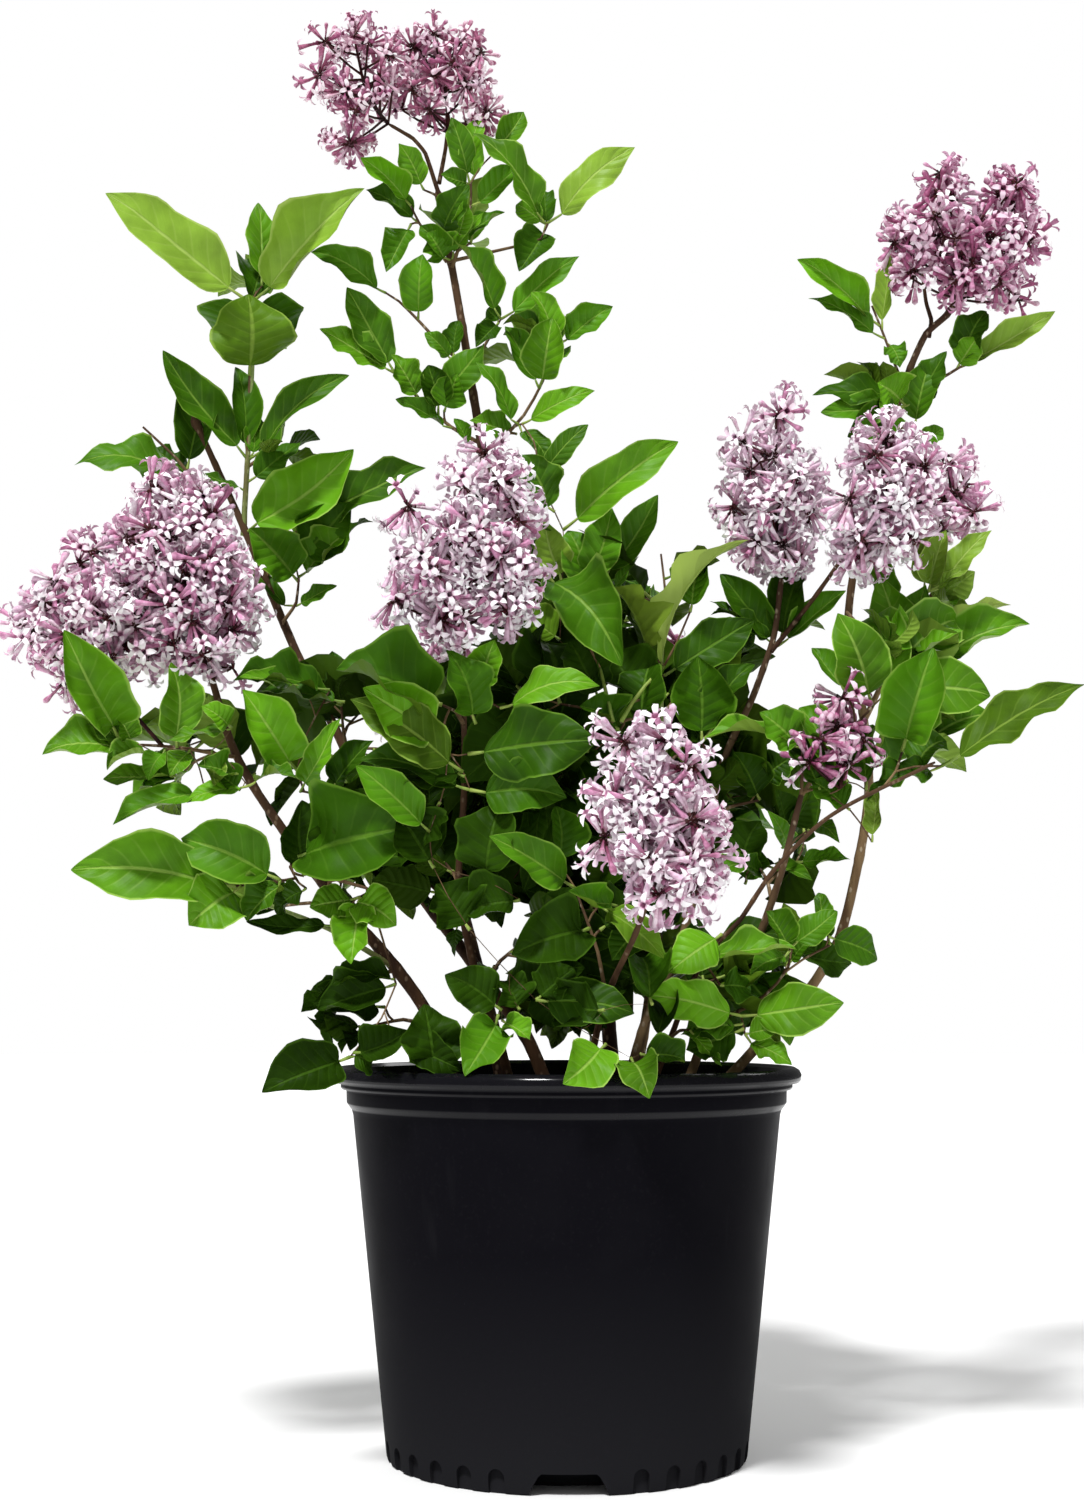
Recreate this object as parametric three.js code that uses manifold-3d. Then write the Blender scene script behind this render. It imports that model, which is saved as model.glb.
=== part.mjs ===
// A lilac bush in a black nursery pot.
//
// Millimetres, +Z up. The origin is the centre of the pot's flat underside, and -Y is the front.
// The pot and its potting mix carry a clump of woody stems. Each stem and bough is one tapering
// limb. Masses of leaves and of blossom sit round the limbs as closed, uneven solids.

import * as THREE from 'three';
import { mergeVertices } from 'three/addons/utils/BufferGeometryUtils.js';
import Module from 'manifold-3d';

const wasm = await Module();
wasm.setup();

// ---------------------------------------------------------------------------------------------
// Driving dimensions
// ---------------------------------------------------------------------------------------------

const GAP = 0.4;              // kept between neighbouring pieces

const POT_HEIGHT = 226.7;     // a "number 3" nursery pot
const RIM_RADIUS = 140;       // outside of the rolled rim
const RIM_ROLL = 9;           // height and width of the roll
const STEP_RADIUS = 134.6;    // of the step under the roll
const BAND_RADIUS = 131;      // of the plain band under that
const BAND_FOOT = 201.7;      // where the wall steps out into the band
const SHOULDER_RADIUS = 127.4;  // outside of the wall at that height
const FOOT_RADIUS = 105.5;    // outside of the wall at the foot
const WALL = 2.4;             // thickness of the pot's wall
const FACETS = 32;            // sides of the pot's circle

const NOTCH_COUNT = 3;        // drain notches round the foot
const SCALLOPS_BETWEEN = 8;   // small scallops from one notch to the next
const SCALLOP_WIDTH = 9.6;
const SCALLOP_HEIGHT = 13.5;
const SCALLOP_DEPTH = 2.2;
const NOTCH_FOOT_WIDTH = 44;
const NOTCH_TOP_WIDTH = 31;
const NOTCH_HEIGHT = 12;
const NOTCH_DEPTH = 21.6;

const UNDERSIDE_DISC = 78;    // radius of the flat middle that the pot stands on
const CHANNEL_HEIGHT = 11.5;  // of the ring-shaped channel round that disc

const SOIL_TOP = 203;         // the mix stops about 25 below the rim
const GROUND = SOIL_TOP + 0.3;  // the flat cut at the foot of every stem

const ROOT_FLARE = 1.5;       // how much wider a stem is at its foot
const FLARE_LENGTH = 16;      // height over which the flare dies away
const LIMB_SIDES = 6;
const RING_STEP = 60;         // longest distance between two rings of a limb

const LEAF_UNEVENNESS = 0.13;   // how far a mass of leaves swells and shrinks, of its radius
const BLOOM_UNEVENNESS = 0.07;  // and a mass of blossom

// ---------------------------------------------------------------------------------------------
// Materials
// ---------------------------------------------------------------------------------------------

const finish = (color, roughness) => new THREE.MeshStandardMaterial({ color, roughness, metalness: 0 });

const blackPlastic = finish('#17181b', 0.42);
const pottingMix = finish('#3a2b20', 0.95);
const bark = finish('#6b4f3c', 0.85);
const greenBark = finish('#7d9a45', 0.6);
const foliage = finish('#3f7d26', 0.55);
const blossom = finish('#b98ac2', 0.7);

// ---------------------------------------------------------------------------------------------
// Solids: from a three.js geometry to a manifold and back
// ---------------------------------------------------------------------------------------------

function toSolid(geometry) {
  const bare = geometry.clone();
  bare.deleteAttribute('normal');
  bare.deleteAttribute('uv');
  const merged = mergeVertices(bare, 1e-3);
  const corners = merged.index.array;
  const kept = [];
  for (let i = 0; i < corners.length; i += 3) {
    const [a, b, c] = [corners[i], corners[i + 1], corners[i + 2]];
    if (a !== b && b !== c && c !== a) kept.push(a, b, c);
  }
  const build = (triangles) => new wasm.Manifold(new wasm.Mesh({
    numProp: 3,
    vertProperties: Float32Array.from(merged.attributes.position.array),
    triVerts: Uint32Array.from(triangles),
  }));
  const solid = build(kept);
  return solid.volume() > 0 ? solid : build(kept.reverse());
}

function toGeometry(solid) {
  const { vertProperties, triVerts } = solid.getMesh();
  const geometry = new THREE.BufferGeometry();
  geometry.setAttribute('position', new THREE.BufferAttribute(vertProperties, 3));
  geometry.setIndex(new THREE.BufferAttribute(triVerts, 1));
  geometry.computeVertexNormals();
  return geometry;
}

// A cut can leave crumbs: the largest body is the piece.
function largestBody(solid) {
  const bodies = solid.decompose();
  return bodies.reduce((best, body) => (body.volume() > best.volume() ? body : best));
}

// ---------------------------------------------------------------------------------------------
// The assembly
// ---------------------------------------------------------------------------------------------

const group = new THREE.Group();
group.name = 'lilac_bush';

const placed = [];            // the room that each piece takes, which later pieces keep clear of

function boxOf(solid) {
  const { min, max } = solid.boundingBox();
  return new THREE.Box3(new THREE.Vector3(...min), new THREE.Vector3(...max));
}

function addPiece(name, material, solid) {
  const mesh = new THREE.Mesh(toGeometry(solid), material);
  mesh.name = name;
  group.add(mesh);
}

function keepClear(room) {
  placed.push({ room, box: boxOf(room) });
}

// Adds a piece, cut back from what is there already. Its room is the piece and a gap round it.
function addCut(name, material, solid, room) {
  const box = boxOf(room);
  let piece = solid;
  for (const other of placed) {
    if (box.intersectsBox(other.box)) piece = piece.subtract(other.room);
  }
  addPiece(name, material, largestBody(piece));
  keepClear(room);
}

// ---------------------------------------------------------------------------------------------
// Pot and potting mix
// ---------------------------------------------------------------------------------------------

function turned(profile, facets) {
  const points = profile.map(([radius, height]) => new THREE.Vector2(radius, height));
  return toSolid(new THREE.LatheGeometry(points, facets).rotateX(Math.PI / 2));
}

const wallSlope = (SHOULDER_RADIUS - FOOT_RADIUS) / BAND_FOOT;
const outerRadius = (height) => FOOT_RADIUS + wallSlope * height;
const innerRadius = (height) => outerRadius(height) - WALL;
const FLOOR = CHANNEL_HEIGHT + WALL;         // inside height of the pot's floor
const ROLL_FOOT = POT_HEIGHT - RIM_ROLL;
const STEP_FOOT = ROLL_FOOT - 3.8;
const CORNER = 2.4;                          // rounding of the foot and of the floor
const FOOT_RING = 7;                         // width of the ring under the wall

const potProfile = [
  [0, 0],
  [UNDERSIDE_DISC, 0],
  [UNDERSIDE_DISC + CORNER, CHANNEL_HEIGHT],
  [FOOT_RADIUS - FOOT_RING - 2, CHANNEL_HEIGHT],
  [FOOT_RADIUS - FOOT_RING, 0],
  [FOOT_RADIUS - CORNER, 0],
  [outerRadius(CORNER), CORNER],
  [SHOULDER_RADIUS, BAND_FOOT],
  [BAND_RADIUS, BAND_FOOT + 4.4],
  [BAND_RADIUS, STEP_FOOT],
  [STEP_RADIUS, STEP_FOOT + 0.4],
  [STEP_RADIUS, ROLL_FOOT],
  [RIM_RADIUS - 0.8, ROLL_FOOT + 0.6],
  [RIM_RADIUS, POT_HEIGHT - 4],
  [RIM_RADIUS - 4, POT_HEIGHT],
  [RIM_RADIUS - RIM_ROLL, POT_HEIGHT - 4],
  [innerRadius(BAND_FOOT), BAND_FOOT - 1],
  [innerRadius(FLOOR + CORNER), FLOOR + CORNER],
  [innerRadius(FLOOR) - CORNER, FLOOR],
  [UNDERSIDE_DISC, FLOOR],
  [UNDERSIDE_DISC - CORNER, WALL],
  [0, WALL],
];

// A cutter that goes into the foot from outside. At angle 0 it is at the front.
function footCutter(outline, depth, angle) {
  const outside = 6;
  const settings = { depth: depth + outside, bevelEnabled: false, curveSegments: 1 };
  const slab = new THREE.ExtrudeGeometry(outline, settings);
  slab.rotateX(Math.PI / 2);                 // outline upright, extrusion along -Y
  slab.translate(0, -(FOOT_RADIUS - depth), 0);
  slab.rotateZ(angle);
  return toSolid(slab);
}

const UNDER = 1;                             // a cutter starts this far under the foot

function scallopOutline() {
  const half = SCALLOP_WIDTH / 2;
  const shoulder = SCALLOP_HEIGHT - half;
  const outline = new THREE.Shape();
  outline.moveTo(-half, -UNDER);
  outline.lineTo(half, -UNDER);
  outline.lineTo(half, shoulder);
  outline.quadraticCurveTo(half, SCALLOP_HEIGHT, 0, SCALLOP_HEIGHT);
  outline.quadraticCurveTo(-half, SCALLOP_HEIGHT, -half, shoulder);
  outline.closePath();
  return outline;
}

function notchOutline() {
  return new THREE.Shape([
    new THREE.Vector2(-NOTCH_FOOT_WIDTH / 2, -UNDER),
    new THREE.Vector2(NOTCH_FOOT_WIDTH / 2, -UNDER),
    new THREE.Vector2(NOTCH_TOP_WIDTH / 2, NOTCH_HEIGHT),
    new THREE.Vector2(-NOTCH_TOP_WIDTH / 2, NOTCH_HEIGHT),
  ]);
}

function makePot() {
  let pot = turned(potProfile, FACETS);
  const notchTurn = 2 * Math.PI / NOTCH_COUNT;
  const places = SCALLOPS_BETWEEN + 3;       // a notch takes the room of three scallops
  for (let notch = 0; notch < NOTCH_COUNT; notch += 1) {
    pot = pot.subtract(footCutter(notchOutline(), NOTCH_DEPTH, notch * notchTurn));
    for (let i = 0; i < SCALLOPS_BETWEEN; i += 1) {
      const angle = (notch + (i + 2) / places) * notchTurn;
      pot = pot.subtract(footCutter(scallopOutline(), SCALLOP_DEPTH, angle));
    }
  }
  return pot;
}

const soilProfile = [
  [0, WALL + GAP],
  [UNDERSIDE_DISC - CORNER - GAP, WALL + GAP],
  [UNDERSIDE_DISC - GAP, FLOOR + GAP],
  [innerRadius(FLOOR) - CORNER - GAP, FLOOR + GAP],
  [innerRadius(FLOOR + CORNER) - GAP, FLOOR + CORNER + GAP],
  [innerRadius(SOIL_TOP - 6) - GAP, SOIL_TOP - 6],
  [innerRadius(SOIL_TOP) - 8, SOIL_TOP],
  [0, SOIL_TOP],
];

// The room of the pot and of the watering space in its mouth, which leaves hang over but not into.
const mouthProfile = [
  [0, 0],
  [FOOT_RADIUS, 0],
  [RIM_RADIUS + GAP, BAND_FOOT],
  [RIM_RADIUS + GAP, POT_HEIGHT + GAP],
  [0, POT_HEIGHT + GAP],
];

// ---------------------------------------------------------------------------------------------
// Limbs: tapering stems and boughs
// ---------------------------------------------------------------------------------------------

// A limb follows its path from the radius `foot` to the radius `tip`. Its room is a square sleeve
// with a gap round the limb.
function limbSolid({ path, foot, tip }, flare, gap) {
  const isRoom = gap > 0;
  const sides = isRoom ? 4 : LIMB_SIDES;
  const cornerReach = isRoom ? Math.SQRT2 : 1;
  const curve = new THREE.CatmullRomCurve3(path.map((point) => new THREE.Vector3(...point)));
  const length = curve.getLength();
  const steps = Math.max(3, Math.ceil(length / RING_STEP));
  const frames = curve.computeFrenetFrames(steps, false);
  const geometry = new THREE.CylinderGeometry(1, 1, 1, sides, steps);
  const position = geometry.attributes.position;
  for (let i = 0; i < position.count; i += 1) {
    const ring = Math.round((position.getY(i) + 0.5) * steps);
    const along = (ring / steps) ** (flare > 1 ? 1.25 : 1);    // rings crowd towards a flared foot
    const centre = curve.getPointAt(along);
    const root = (flare - 1) * Math.exp(-along * length / FLARE_LENGTH);
    const girth = THREE.MathUtils.lerp(foot, tip, along) * (1 + root);
    const radius = (girth + gap) * cornerReach;
    const vertex = centre.clone()
      .addScaledVector(frames.normals[ring], position.getX(i) * radius)
      .addScaledVector(frames.binormals[ring], position.getZ(i) * radius);
    if (ring === 0 && flare > 1) vertex.z = centre.z;          // flat cut at the soil
    if (ring === 0) vertex.addScaledVector(frames.tangents[ring], -gap);
    if (ring === steps) vertex.addScaledVector(frames.tangents[ring], gap);
    position.setXYZ(i, vertex.x, vertex.y, vertex.z);
  }
  return toSolid(geometry);
}

const stems = {
  stem_left: {
    foot: 4.4, tip: 1.7,
    path: [[-62, -4, GROUND], [-84, -14, 260], [-113, -25, 299], [-140, -33, 329], [-190, -48, 401],
      [-209, -54, 455], [-222, -60, 492]],
  },
  stem_back_left: {
    foot: 4.2, tip: 1.9,
    path: [[-8, 22, GROUND], [-24, 23, 243], [-60, 28, 292], [-108, 35, 357], [-142, 40, 430],
      [-168, 42, 480], [-207, 44, 570], [-239, 46, 639]],
  },
  stem_tall: {
    foot: 4.6, tip: 2.2,
    path: [[30, 14, GROUND], [21, 20, 290], [0, 28, 358], [-16, 32, 421], [-30, 36, 479],
      [-56, 46, 636], [-68, 50, 710], [-83, 55, 793]],
  },
  stem_middle: {
    foot: 3.2, tip: 1.6,
    path: [[32, -14, GROUND], [49, -14, 259], [65, -16, 290], [80, -18, 343], [93, -20, 405],
      [112, -22, 447], [125, -24, 484], [130, -25, 520]],
  },
  stem_right: {
    foot: 3, tip: 1.7,
    path: [[66, -22, GROUND], [82, -26, 246], [102, -32, 276], [116, -40, 312], [126, -46, 343],
      [137, -55, 387]],
  },
  stem_tall_right: {
    foot: 3.3, tip: 2,
    path: [[84, 16, GROUND], [124, 20, 246], [151, 22, 275], [170, 24, 309], [188, 28, 391],
      [185, 30, 452], [178, 32, 505], [193, 34, 581], [219, 38, 662], [232, 40, 691],
      [246, 42, 704], [257, 42, 720]],
  },
  stem_far_right: {
    foot: 2.3, tip: 1.2,
    path: [[44, -50, GROUND], [76, -65, 286], [98, -72, 311], [117, -78, 339], [149, -84, 370],
      [208, -92, 400]],
  },
  stem_front: {
    foot: 2.2, tip: 1.3,
    path: [[8, -48, GROUND], [20, -82, 262], [36, -135, 302], [45, -172, 330]],
  },
  stem_centre: {
    foot: 2.6, tip: 1.4,
    path: [[-36, -22, GROUND], [-50, -30, 266], [-63, -40, 329], [-60, -54, 391], [-60, -88, 478]],
  },
  stem_rear_left: {
    foot: 3.8, tip: 1.7,
    path: [[-32, 54, GROUND], [-62, 108, 311], [-82, 150, 390], [-86, 180, 452]],
  },
  stem_rear_right: {
    foot: 3.6, tip: 1.7,
    path: [[42, 54, GROUND], [62, 110, 311], [74, 155, 390], [76, 188, 442]],
  },
};

const boughs = {
  bough_low_left: {
    foot: 1.9, tip: 1.2,
    path: [[-100, -20, 284], [-138, -45, 307], [-176, -66, 322]],
  },
  bough_centre: {
    foot: 1.9, tip: 1.2,
    path: [[78, -18, 340], [62, -10, 400], [58, 0, 461], [62, 5, 505]],
  },
  bough_right_bloom: {
    foot: 1.6, tip: 1.2,
    path: [[123, -24, 474], [148, -32, 505], [166, -40, 530]],
  },
  bough_far_bloom: {
    foot: 1.9, tip: 1.3,
    path: [[187, 30, 440], [212, 27, 490], [231, 24, 521], [241, 22, 562]],
  },
  stalk_top_left: {
    foot: 1.5, tip: 1.1,
    path: [[-81, 54, 786], [-91, 50, 816], [-99, 48, 825], [-115, 46, 834]],
  },
  stalk_top_right: {
    foot: 1.5, tip: 1.1,
    path: [[-82, 55, 797], [-78, 58, 822], [-76, 60, 846]],
  },
};

const greenShoots = {
  shoot_upper_left: {
    foot: 1.9, tip: 1.3,
    path: [[-205, 44, 560], [-202, 44, 636], [-200, 42, 690]],
  },
};

// ---------------------------------------------------------------------------------------------
// Masses of leaves and blossom
// ---------------------------------------------------------------------------------------------

// Waves over the directions of a sphere, different for each seed, whose sum swells a mass unevenly.
function swelling(seed) {
  const count = 5;
  const random = (k) => {
    const wild = Math.sin(seed * 12.9898 + k * 78.233) * 43758.5453;
    return wild - Math.floor(wild);
  };
  const waves = [];
  for (let k = 0; k < count; k += 1) {
    waves.push({
      direction: new THREE.Vector3().setFromSphericalCoords(1, Math.PI * random(k), 6.3 * random(k + 20)),
      frequency: 2.5 + 3 * random(k + 40),
      phase: 6.3 * random(k + 60),
    });
  }
  const height = (wave, unit) => Math.sin(wave.frequency * unit.dot(wave.direction) + wave.phase);
  return (unit) => waves.reduce((sum, wave) => sum + height(wave, unit), 0) / Math.sqrt(count);
}

// `at` is the middle and `size` the width, depth and height. Each tip is a furthest point that the
// mass reaches: the vertex that faces it goes there. With a gap it is the mass's room.
function massSolid({ at, size, tips = [] }, unevenness, seed, gap) {
  const ball = new THREE.IcosahedronGeometry(1, 1);
  ball.deleteAttribute('normal');
  ball.deleteAttribute('uv');
  const geometry = mergeVertices(ball, 1e-3);
  const position = geometry.attributes.position;
  const middle = new THREE.Vector3(...at);
  const half = new THREE.Vector3(...size).multiplyScalar(0.5);
  const swell = swelling(seed);
  const units = [];
  for (let i = 0; i < position.count; i += 1) {
    units.push(new THREE.Vector3().fromBufferAttribute(position, i));
  }
  const offsets = units.map((unit) => (
    unit.clone().multiply(half).multiplyScalar(1 + unevenness * swell(unit))
  ));
  for (const tip of tips) {
    const offset = new THREE.Vector3(...tip).sub(middle);
    const facing = offset.clone().divide(half).normalize();
    const closeness = units.map((unit) => unit.dot(facing));
    offsets[closeness.indexOf(Math.max(...closeness))] = offset;
  }
  offsets.forEach((offset, i) => {
    const vertex = offset.clone().setLength(offset.length() + gap).add(middle);
    position.setXYZ(i, vertex.x, vertex.y, vertex.z);
  });
  return toSolid(geometry);
}

const blooms = {
  bloom_top_left: { at: [-134, 42, 862], size: [74, 78, 104], tips: [[-143, 40, 912]] },
  bloom_top_right: { at: [-74, 60, 874], size: [70, 76, 92], tips: [[-76, 60, 920]] },
  bloom_left: { at: [-237, -60, 518], size: [96, 92, 146] },
  bloom_left_outer: { at: [-294, -70, 500], size: [78, 78, 92], tips: [[-330, -74, 490]] },
  bloom_centre: { at: [-63, -95, 526], size: [100, 92, 126] },
  bloom_top_far_right: { at: [258, 42, 754], size: [114, 100, 106] },
  bloom_right_upper: { at: [128, -25, 574], size: [72, 74, 116] },
  bloom_right_outer: { at: [188, -50, 562], size: [74, 76, 104] },
  bloom_far_right: { at: [247, 20, 590], size: [46, 52, 74] },
  bloom_small_right: { at: [157, -65, 418], size: [50, 50, 62] },
  bloom_front: { at: [47, -192, 360], size: [84, 82, 110] },
  bloom_rear_left: { at: [-85, 190, 486], size: [72, 74, 100] },
  bloom_rear_right: { at: [76, 196, 474], size: [72, 74, 98] },
};

const leaves = {
  leaves_top: {
    at: [-64, 55, 778], size: [118, 100, 112], tips: [[46, 50, 818], [7, 30, 740], [-36, 62, 846]],
  },
  leaves_top_left: { at: [-98, 45, 680], size: [88, 86, 88], tips: [[-153, 30, 691], [-140, 60, 727]] },
  leaves_top_right: { at: [-22, 54, 684], size: [88, 84, 84], tips: [[29, 50, 712], [16, 70, 663]] },
  leaves_whorl: {
    at: [-203, 44, 724], size: [70, 100, 70], tips: [[-290, 20, 779], [-134, 44, 782], [-198, 10, 660]],
  },
  leaves_upper_left: {
    at: [-204, 46, 624], size: [96, 110, 92], tips: [[-251, 20, 674], [-143, 60, 668], [-311, 26, 614]],
  },
  leaves_left_centre: { at: [-155, 42, 545], size: [92, 116, 118], tips: [[-94, 20, 602]] },
  leaves_left: {
    at: [-222, -58, 412], size: [126, 140, 84],
    tips: [[-297, -90, 416], [-277, -108, 472], [-262, -60, 370]],
  },
  leaves_low_left: {
    at: [-180, -66, 334], size: [156, 130, 62], tips: [[-279, -90, 338], [-208, -118, 304]],
  },
  leaves_centre_high: { at: [44, 8, 546], size: [106, 130, 118], tips: [[65, -20, 601], [103, -28, 546]] },
  leaves_heart_left: { at: [-136, -8, 420], size: [116, 170, 140], tips: [[-197, 10, 470]] },
  leaves_heart: { at: [-30, -62, 408], size: [128, 180, 160] },
  leaves_heart_right: { at: [80, 6, 452], size: [112, 160, 128] },
  leaves_under_blooms: { at: [126, -12, 496], size: [66, 74, 42], tips: [[169, 10, 518]] },
  leaves_right: {
    at: [203, -62, 446], size: [104, 132, 108], tips: [[292, -90, 444], [274, -44, 488], [156, -94, 484]],
  },
  leaves_right_high: { at: [226, 12, 516], size: [66, 84, 62], tips: [[274, 10, 512]] },
  leaves_below_top_bloom: { at: [204, 36, 648], size: [84, 84, 54], tips: [[158, 20, 650]] },
  leaves_beside_top_bloom: { at: [190, 44, 714], size: [50, 66, 60], tips: [[155, 40, 741]] },
  leaves_outside_top_bloom: { at: [266, 42, 692], size: [56, 66, 44], tips: [[313, 50, 707]] },
  leaves_low_right: {
    at: [112, -56, 278], size: [104, 140, 86], tips: [[179, -50, 292], [150, -100, 262]],
  },
  leaves_low_centre: { at: [-8, -88, 286], size: [126, 120, 86], tips: [[14, -152, 236]] },
  leaves_low_left_rim: {
    at: [-104, -66, 262], size: [92, 116, 60], tips: [[-166, -112, 234], [-144, -60, 274]],
  },
  leaves_mid_right: { at: [136, -10, 368], size: [88, 130, 84], tips: [[185, -30, 334]] },
  leaves_rear_left: { at: [-100, 128, 408], size: [168, 140, 170] },
  leaves_rear_right: { at: [84, 134, 400], size: [158, 140, 164], tips: [[172, 120, 430]] },
  leaves_rear_low: { at: [0, 104, 284], size: [220, 116, 92], tips: [[-96, 150, 240], [104, 152, 246]] },
  leaves_rear_high: { at: [0, 104, 512], size: [136, 110, 110] },
};

// ---------------------------------------------------------------------------------------------
// Build order: what comes first keeps its shape, and what follows is cut back from it
// ---------------------------------------------------------------------------------------------

addPiece('pot', blackPlastic, makePot());
addPiece('soil', pottingMix, turned(soilProfile, FACETS / 2));

function addLimbs(limbs, material, flare) {
  for (const [name, limb] of Object.entries(limbs)) {
    addCut(name, material, limbSolid(limb, flare, 0), limbSolid(limb, flare, GAP));
  }
}

function addMasses(masses, material, unevenness, firstSeed) {
  Object.entries(masses).forEach(([name, mass], i) => {
    const seed = firstSeed + i;
    const room = massSolid(mass, unevenness, seed, 2 * GAP);
    addCut(name, material, massSolid(mass, unevenness, seed, 0), room);
  });
}

addLimbs(stems, bark, ROOT_FLARE);
addLimbs(boughs, bark, 1);
addLimbs(greenShoots, greenBark, 1);
keepClear(turned(mouthProfile, FACETS));
addMasses(blooms, blossom, BLOOM_UNEVENNESS, 1);
addMasses(leaves, foliage, LEAF_UNEVENNESS, 21);

export default group;
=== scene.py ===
from math import cos, pi, radians, sin, tau

import bmesh
import bpy
import numpy as np
from mathutils import Matrix, Vector, noise


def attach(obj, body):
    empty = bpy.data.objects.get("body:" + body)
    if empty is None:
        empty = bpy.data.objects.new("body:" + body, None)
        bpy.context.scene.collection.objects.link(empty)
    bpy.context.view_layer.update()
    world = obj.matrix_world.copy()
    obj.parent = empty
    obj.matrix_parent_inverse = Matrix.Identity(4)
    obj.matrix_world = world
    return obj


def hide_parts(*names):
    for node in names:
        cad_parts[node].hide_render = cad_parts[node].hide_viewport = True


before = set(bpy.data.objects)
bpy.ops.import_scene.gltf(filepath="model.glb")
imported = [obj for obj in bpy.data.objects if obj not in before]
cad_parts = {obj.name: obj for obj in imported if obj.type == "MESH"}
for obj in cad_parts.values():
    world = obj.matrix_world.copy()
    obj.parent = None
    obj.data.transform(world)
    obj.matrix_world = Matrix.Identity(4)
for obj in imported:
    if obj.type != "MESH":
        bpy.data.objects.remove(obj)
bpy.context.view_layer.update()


# ------------------------------------------------------------------------------------------------
# Studio: camera, soft light and a pale floor
# The bush stands on a plain pale floor in even white light. A distant soft lamp shines from high in
# front, a little to the left, and a weaker one from behind on the right.
# ------------------------------------------------------------------------------------------------

MM = 0.001                  # lengths are in mm where nothing else is said
SENSOR = 36.0
LENS = 51.76
EYE = Vector((-14.6, -1306.0, 268.4))
PITCH = radians(6.51)
ROOM_LIGHT = 0.42
ROOM_SEEN = 1.0
ROOM_MIRRORED = 0.12        # dark screens stand round the bush, so glossy things stay dark
FLOOR_RADIUS = 9.0          # m
FLOOR_COLOUR = (0.9, 0.9, 0.9, 1)

scene = bpy.context.scene
scene.view_settings.view_transform = "Standard"

camera_data = bpy.data.cameras.new("camera")
camera_data.sensor_width = SENSOR
camera_data.lens = LENS
camera = bpy.data.objects.new("camera", camera_data)
camera.location = EYE * MM
camera.rotation_euler = (pi / 2 + PITCH, 0, 0)
scene.collection.objects.link(camera)
scene.camera = camera

world = bpy.data.worlds.new("room")
world.use_nodes = True
scene.world = world
room = world.node_tree
room.nodes.clear()


def even_white(strength):
    """White light of this strength from all round the room."""
    background = room.nodes.new("ShaderNodeBackground")
    background.inputs["Color"].default_value = (1, 1, 1, 1)
    background.inputs["Strength"].default_value = strength
    return background.outputs[0]


light_path = room.nodes.new("ShaderNodeLightPath")
room_light = even_white(ROOM_LIGHT)
for ray, strength in (("Is Glossy Ray", ROOM_MIRRORED), ("Is Camera Ray", ROOM_SEEN)):
    either = room.nodes.new("ShaderNodeMixShader")
    room.links.new(light_path.outputs[ray], either.inputs["Fac"])
    room.links.new(room_light, either.inputs[1])
    room.links.new(even_white(strength), either.inputs[2])
    room_light = either.outputs[0]
room_out = room.nodes.new("ShaderNodeOutputWorld")
room.links.new(room_light, room_out.inputs["Surface"])


def soft_lamp(name, place, power, spread):
    """A distant white lamp that shines from `place` towards the bush, with soft-edged shadows."""
    data = bpy.data.lights.new(name, "SUN")
    data.energy = power
    data.angle = radians(spread)
    lamp = bpy.data.objects.new(name, data)
    lamp.location = place
    lamp.rotation_euler = (-Vector(place)).to_track_quat("-Z", "Y").to_euler()
    scene.collection.objects.link(lamp)


soft_lamp("key_lamp", place=(-0.6, -1.5, 2.6), power=3.3, spread=9)
soft_lamp("back_lamp", place=(1.2, 1.6, 1.9), power=0.8, spread=25)


def material(name, roughness, specular):
    """An empty node material with its Principled shader, whose even values are set on its sockets."""
    made = bpy.data.materials.new(name)
    made.use_nodes = True
    shader = made.node_tree.nodes["Principled BSDF"]
    shader.inputs["Roughness"].default_value = roughness
    shader.inputs["Specular IOR Level"].default_value = specular
    return made, made.node_tree, shader


def mesh_of(shape, name):
    """Turns a bmesh into a mesh of that name."""
    mesh = bpy.data.meshes.new(name)
    shape.to_mesh(mesh)
    shape.free()
    return mesh


def new_object(name, mesh, finish):
    """Puts a mesh in the scene as an object of that name and finish."""
    mesh.materials.append(finish)
    made = bpy.data.objects.new(name, mesh)
    scene.collection.objects.link(made)
    return made


floor_finish, _, floor_shader = material("pale_floor", 0.9, 0.1)
floor_shader.inputs["Base Color"].default_value = FLOOR_COLOUR
floor_shape = bmesh.new()
bmesh.ops.create_circle(floor_shape, cap_ends=True, segments=96, radius=FLOOR_RADIUS)
floor = new_object("floor", mesh_of(floor_shape, "floor"), floor_finish)


# ------------------------------------------------------------------------------------------------
# Nursery pot
# A round pot blown from thin black polythene, with a rolled rim over a stepped band. Small
# scallops and three drain notches are pressed into its foot.
# ------------------------------------------------------------------------------------------------

POT_HEIGHT = 226.7
RIM_RADIUS = 140.0
FOOT_RADIUS = 105.5
SHOULDER_RADIUS = 127.4
BAND_FOOT = 201.7
BAND_RADIUS = 131.0
STEP_RADIUS = 134.6
STEP_FOOT = 213.9
ROLL_FOOT = 217.7
WALL = 2.4
CHANNEL_HEIGHT = 11.5       # of the ring-shaped hollow under the pot
UNDERSIDE_DISC = 78.0
FOOT_RING = 7.0
ROUND_STEPS = 180
SAME_POINT = 0.01           # points nearer than this are merged
CREASE = radians(34)        # edges sharper than this stay crisp

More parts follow.
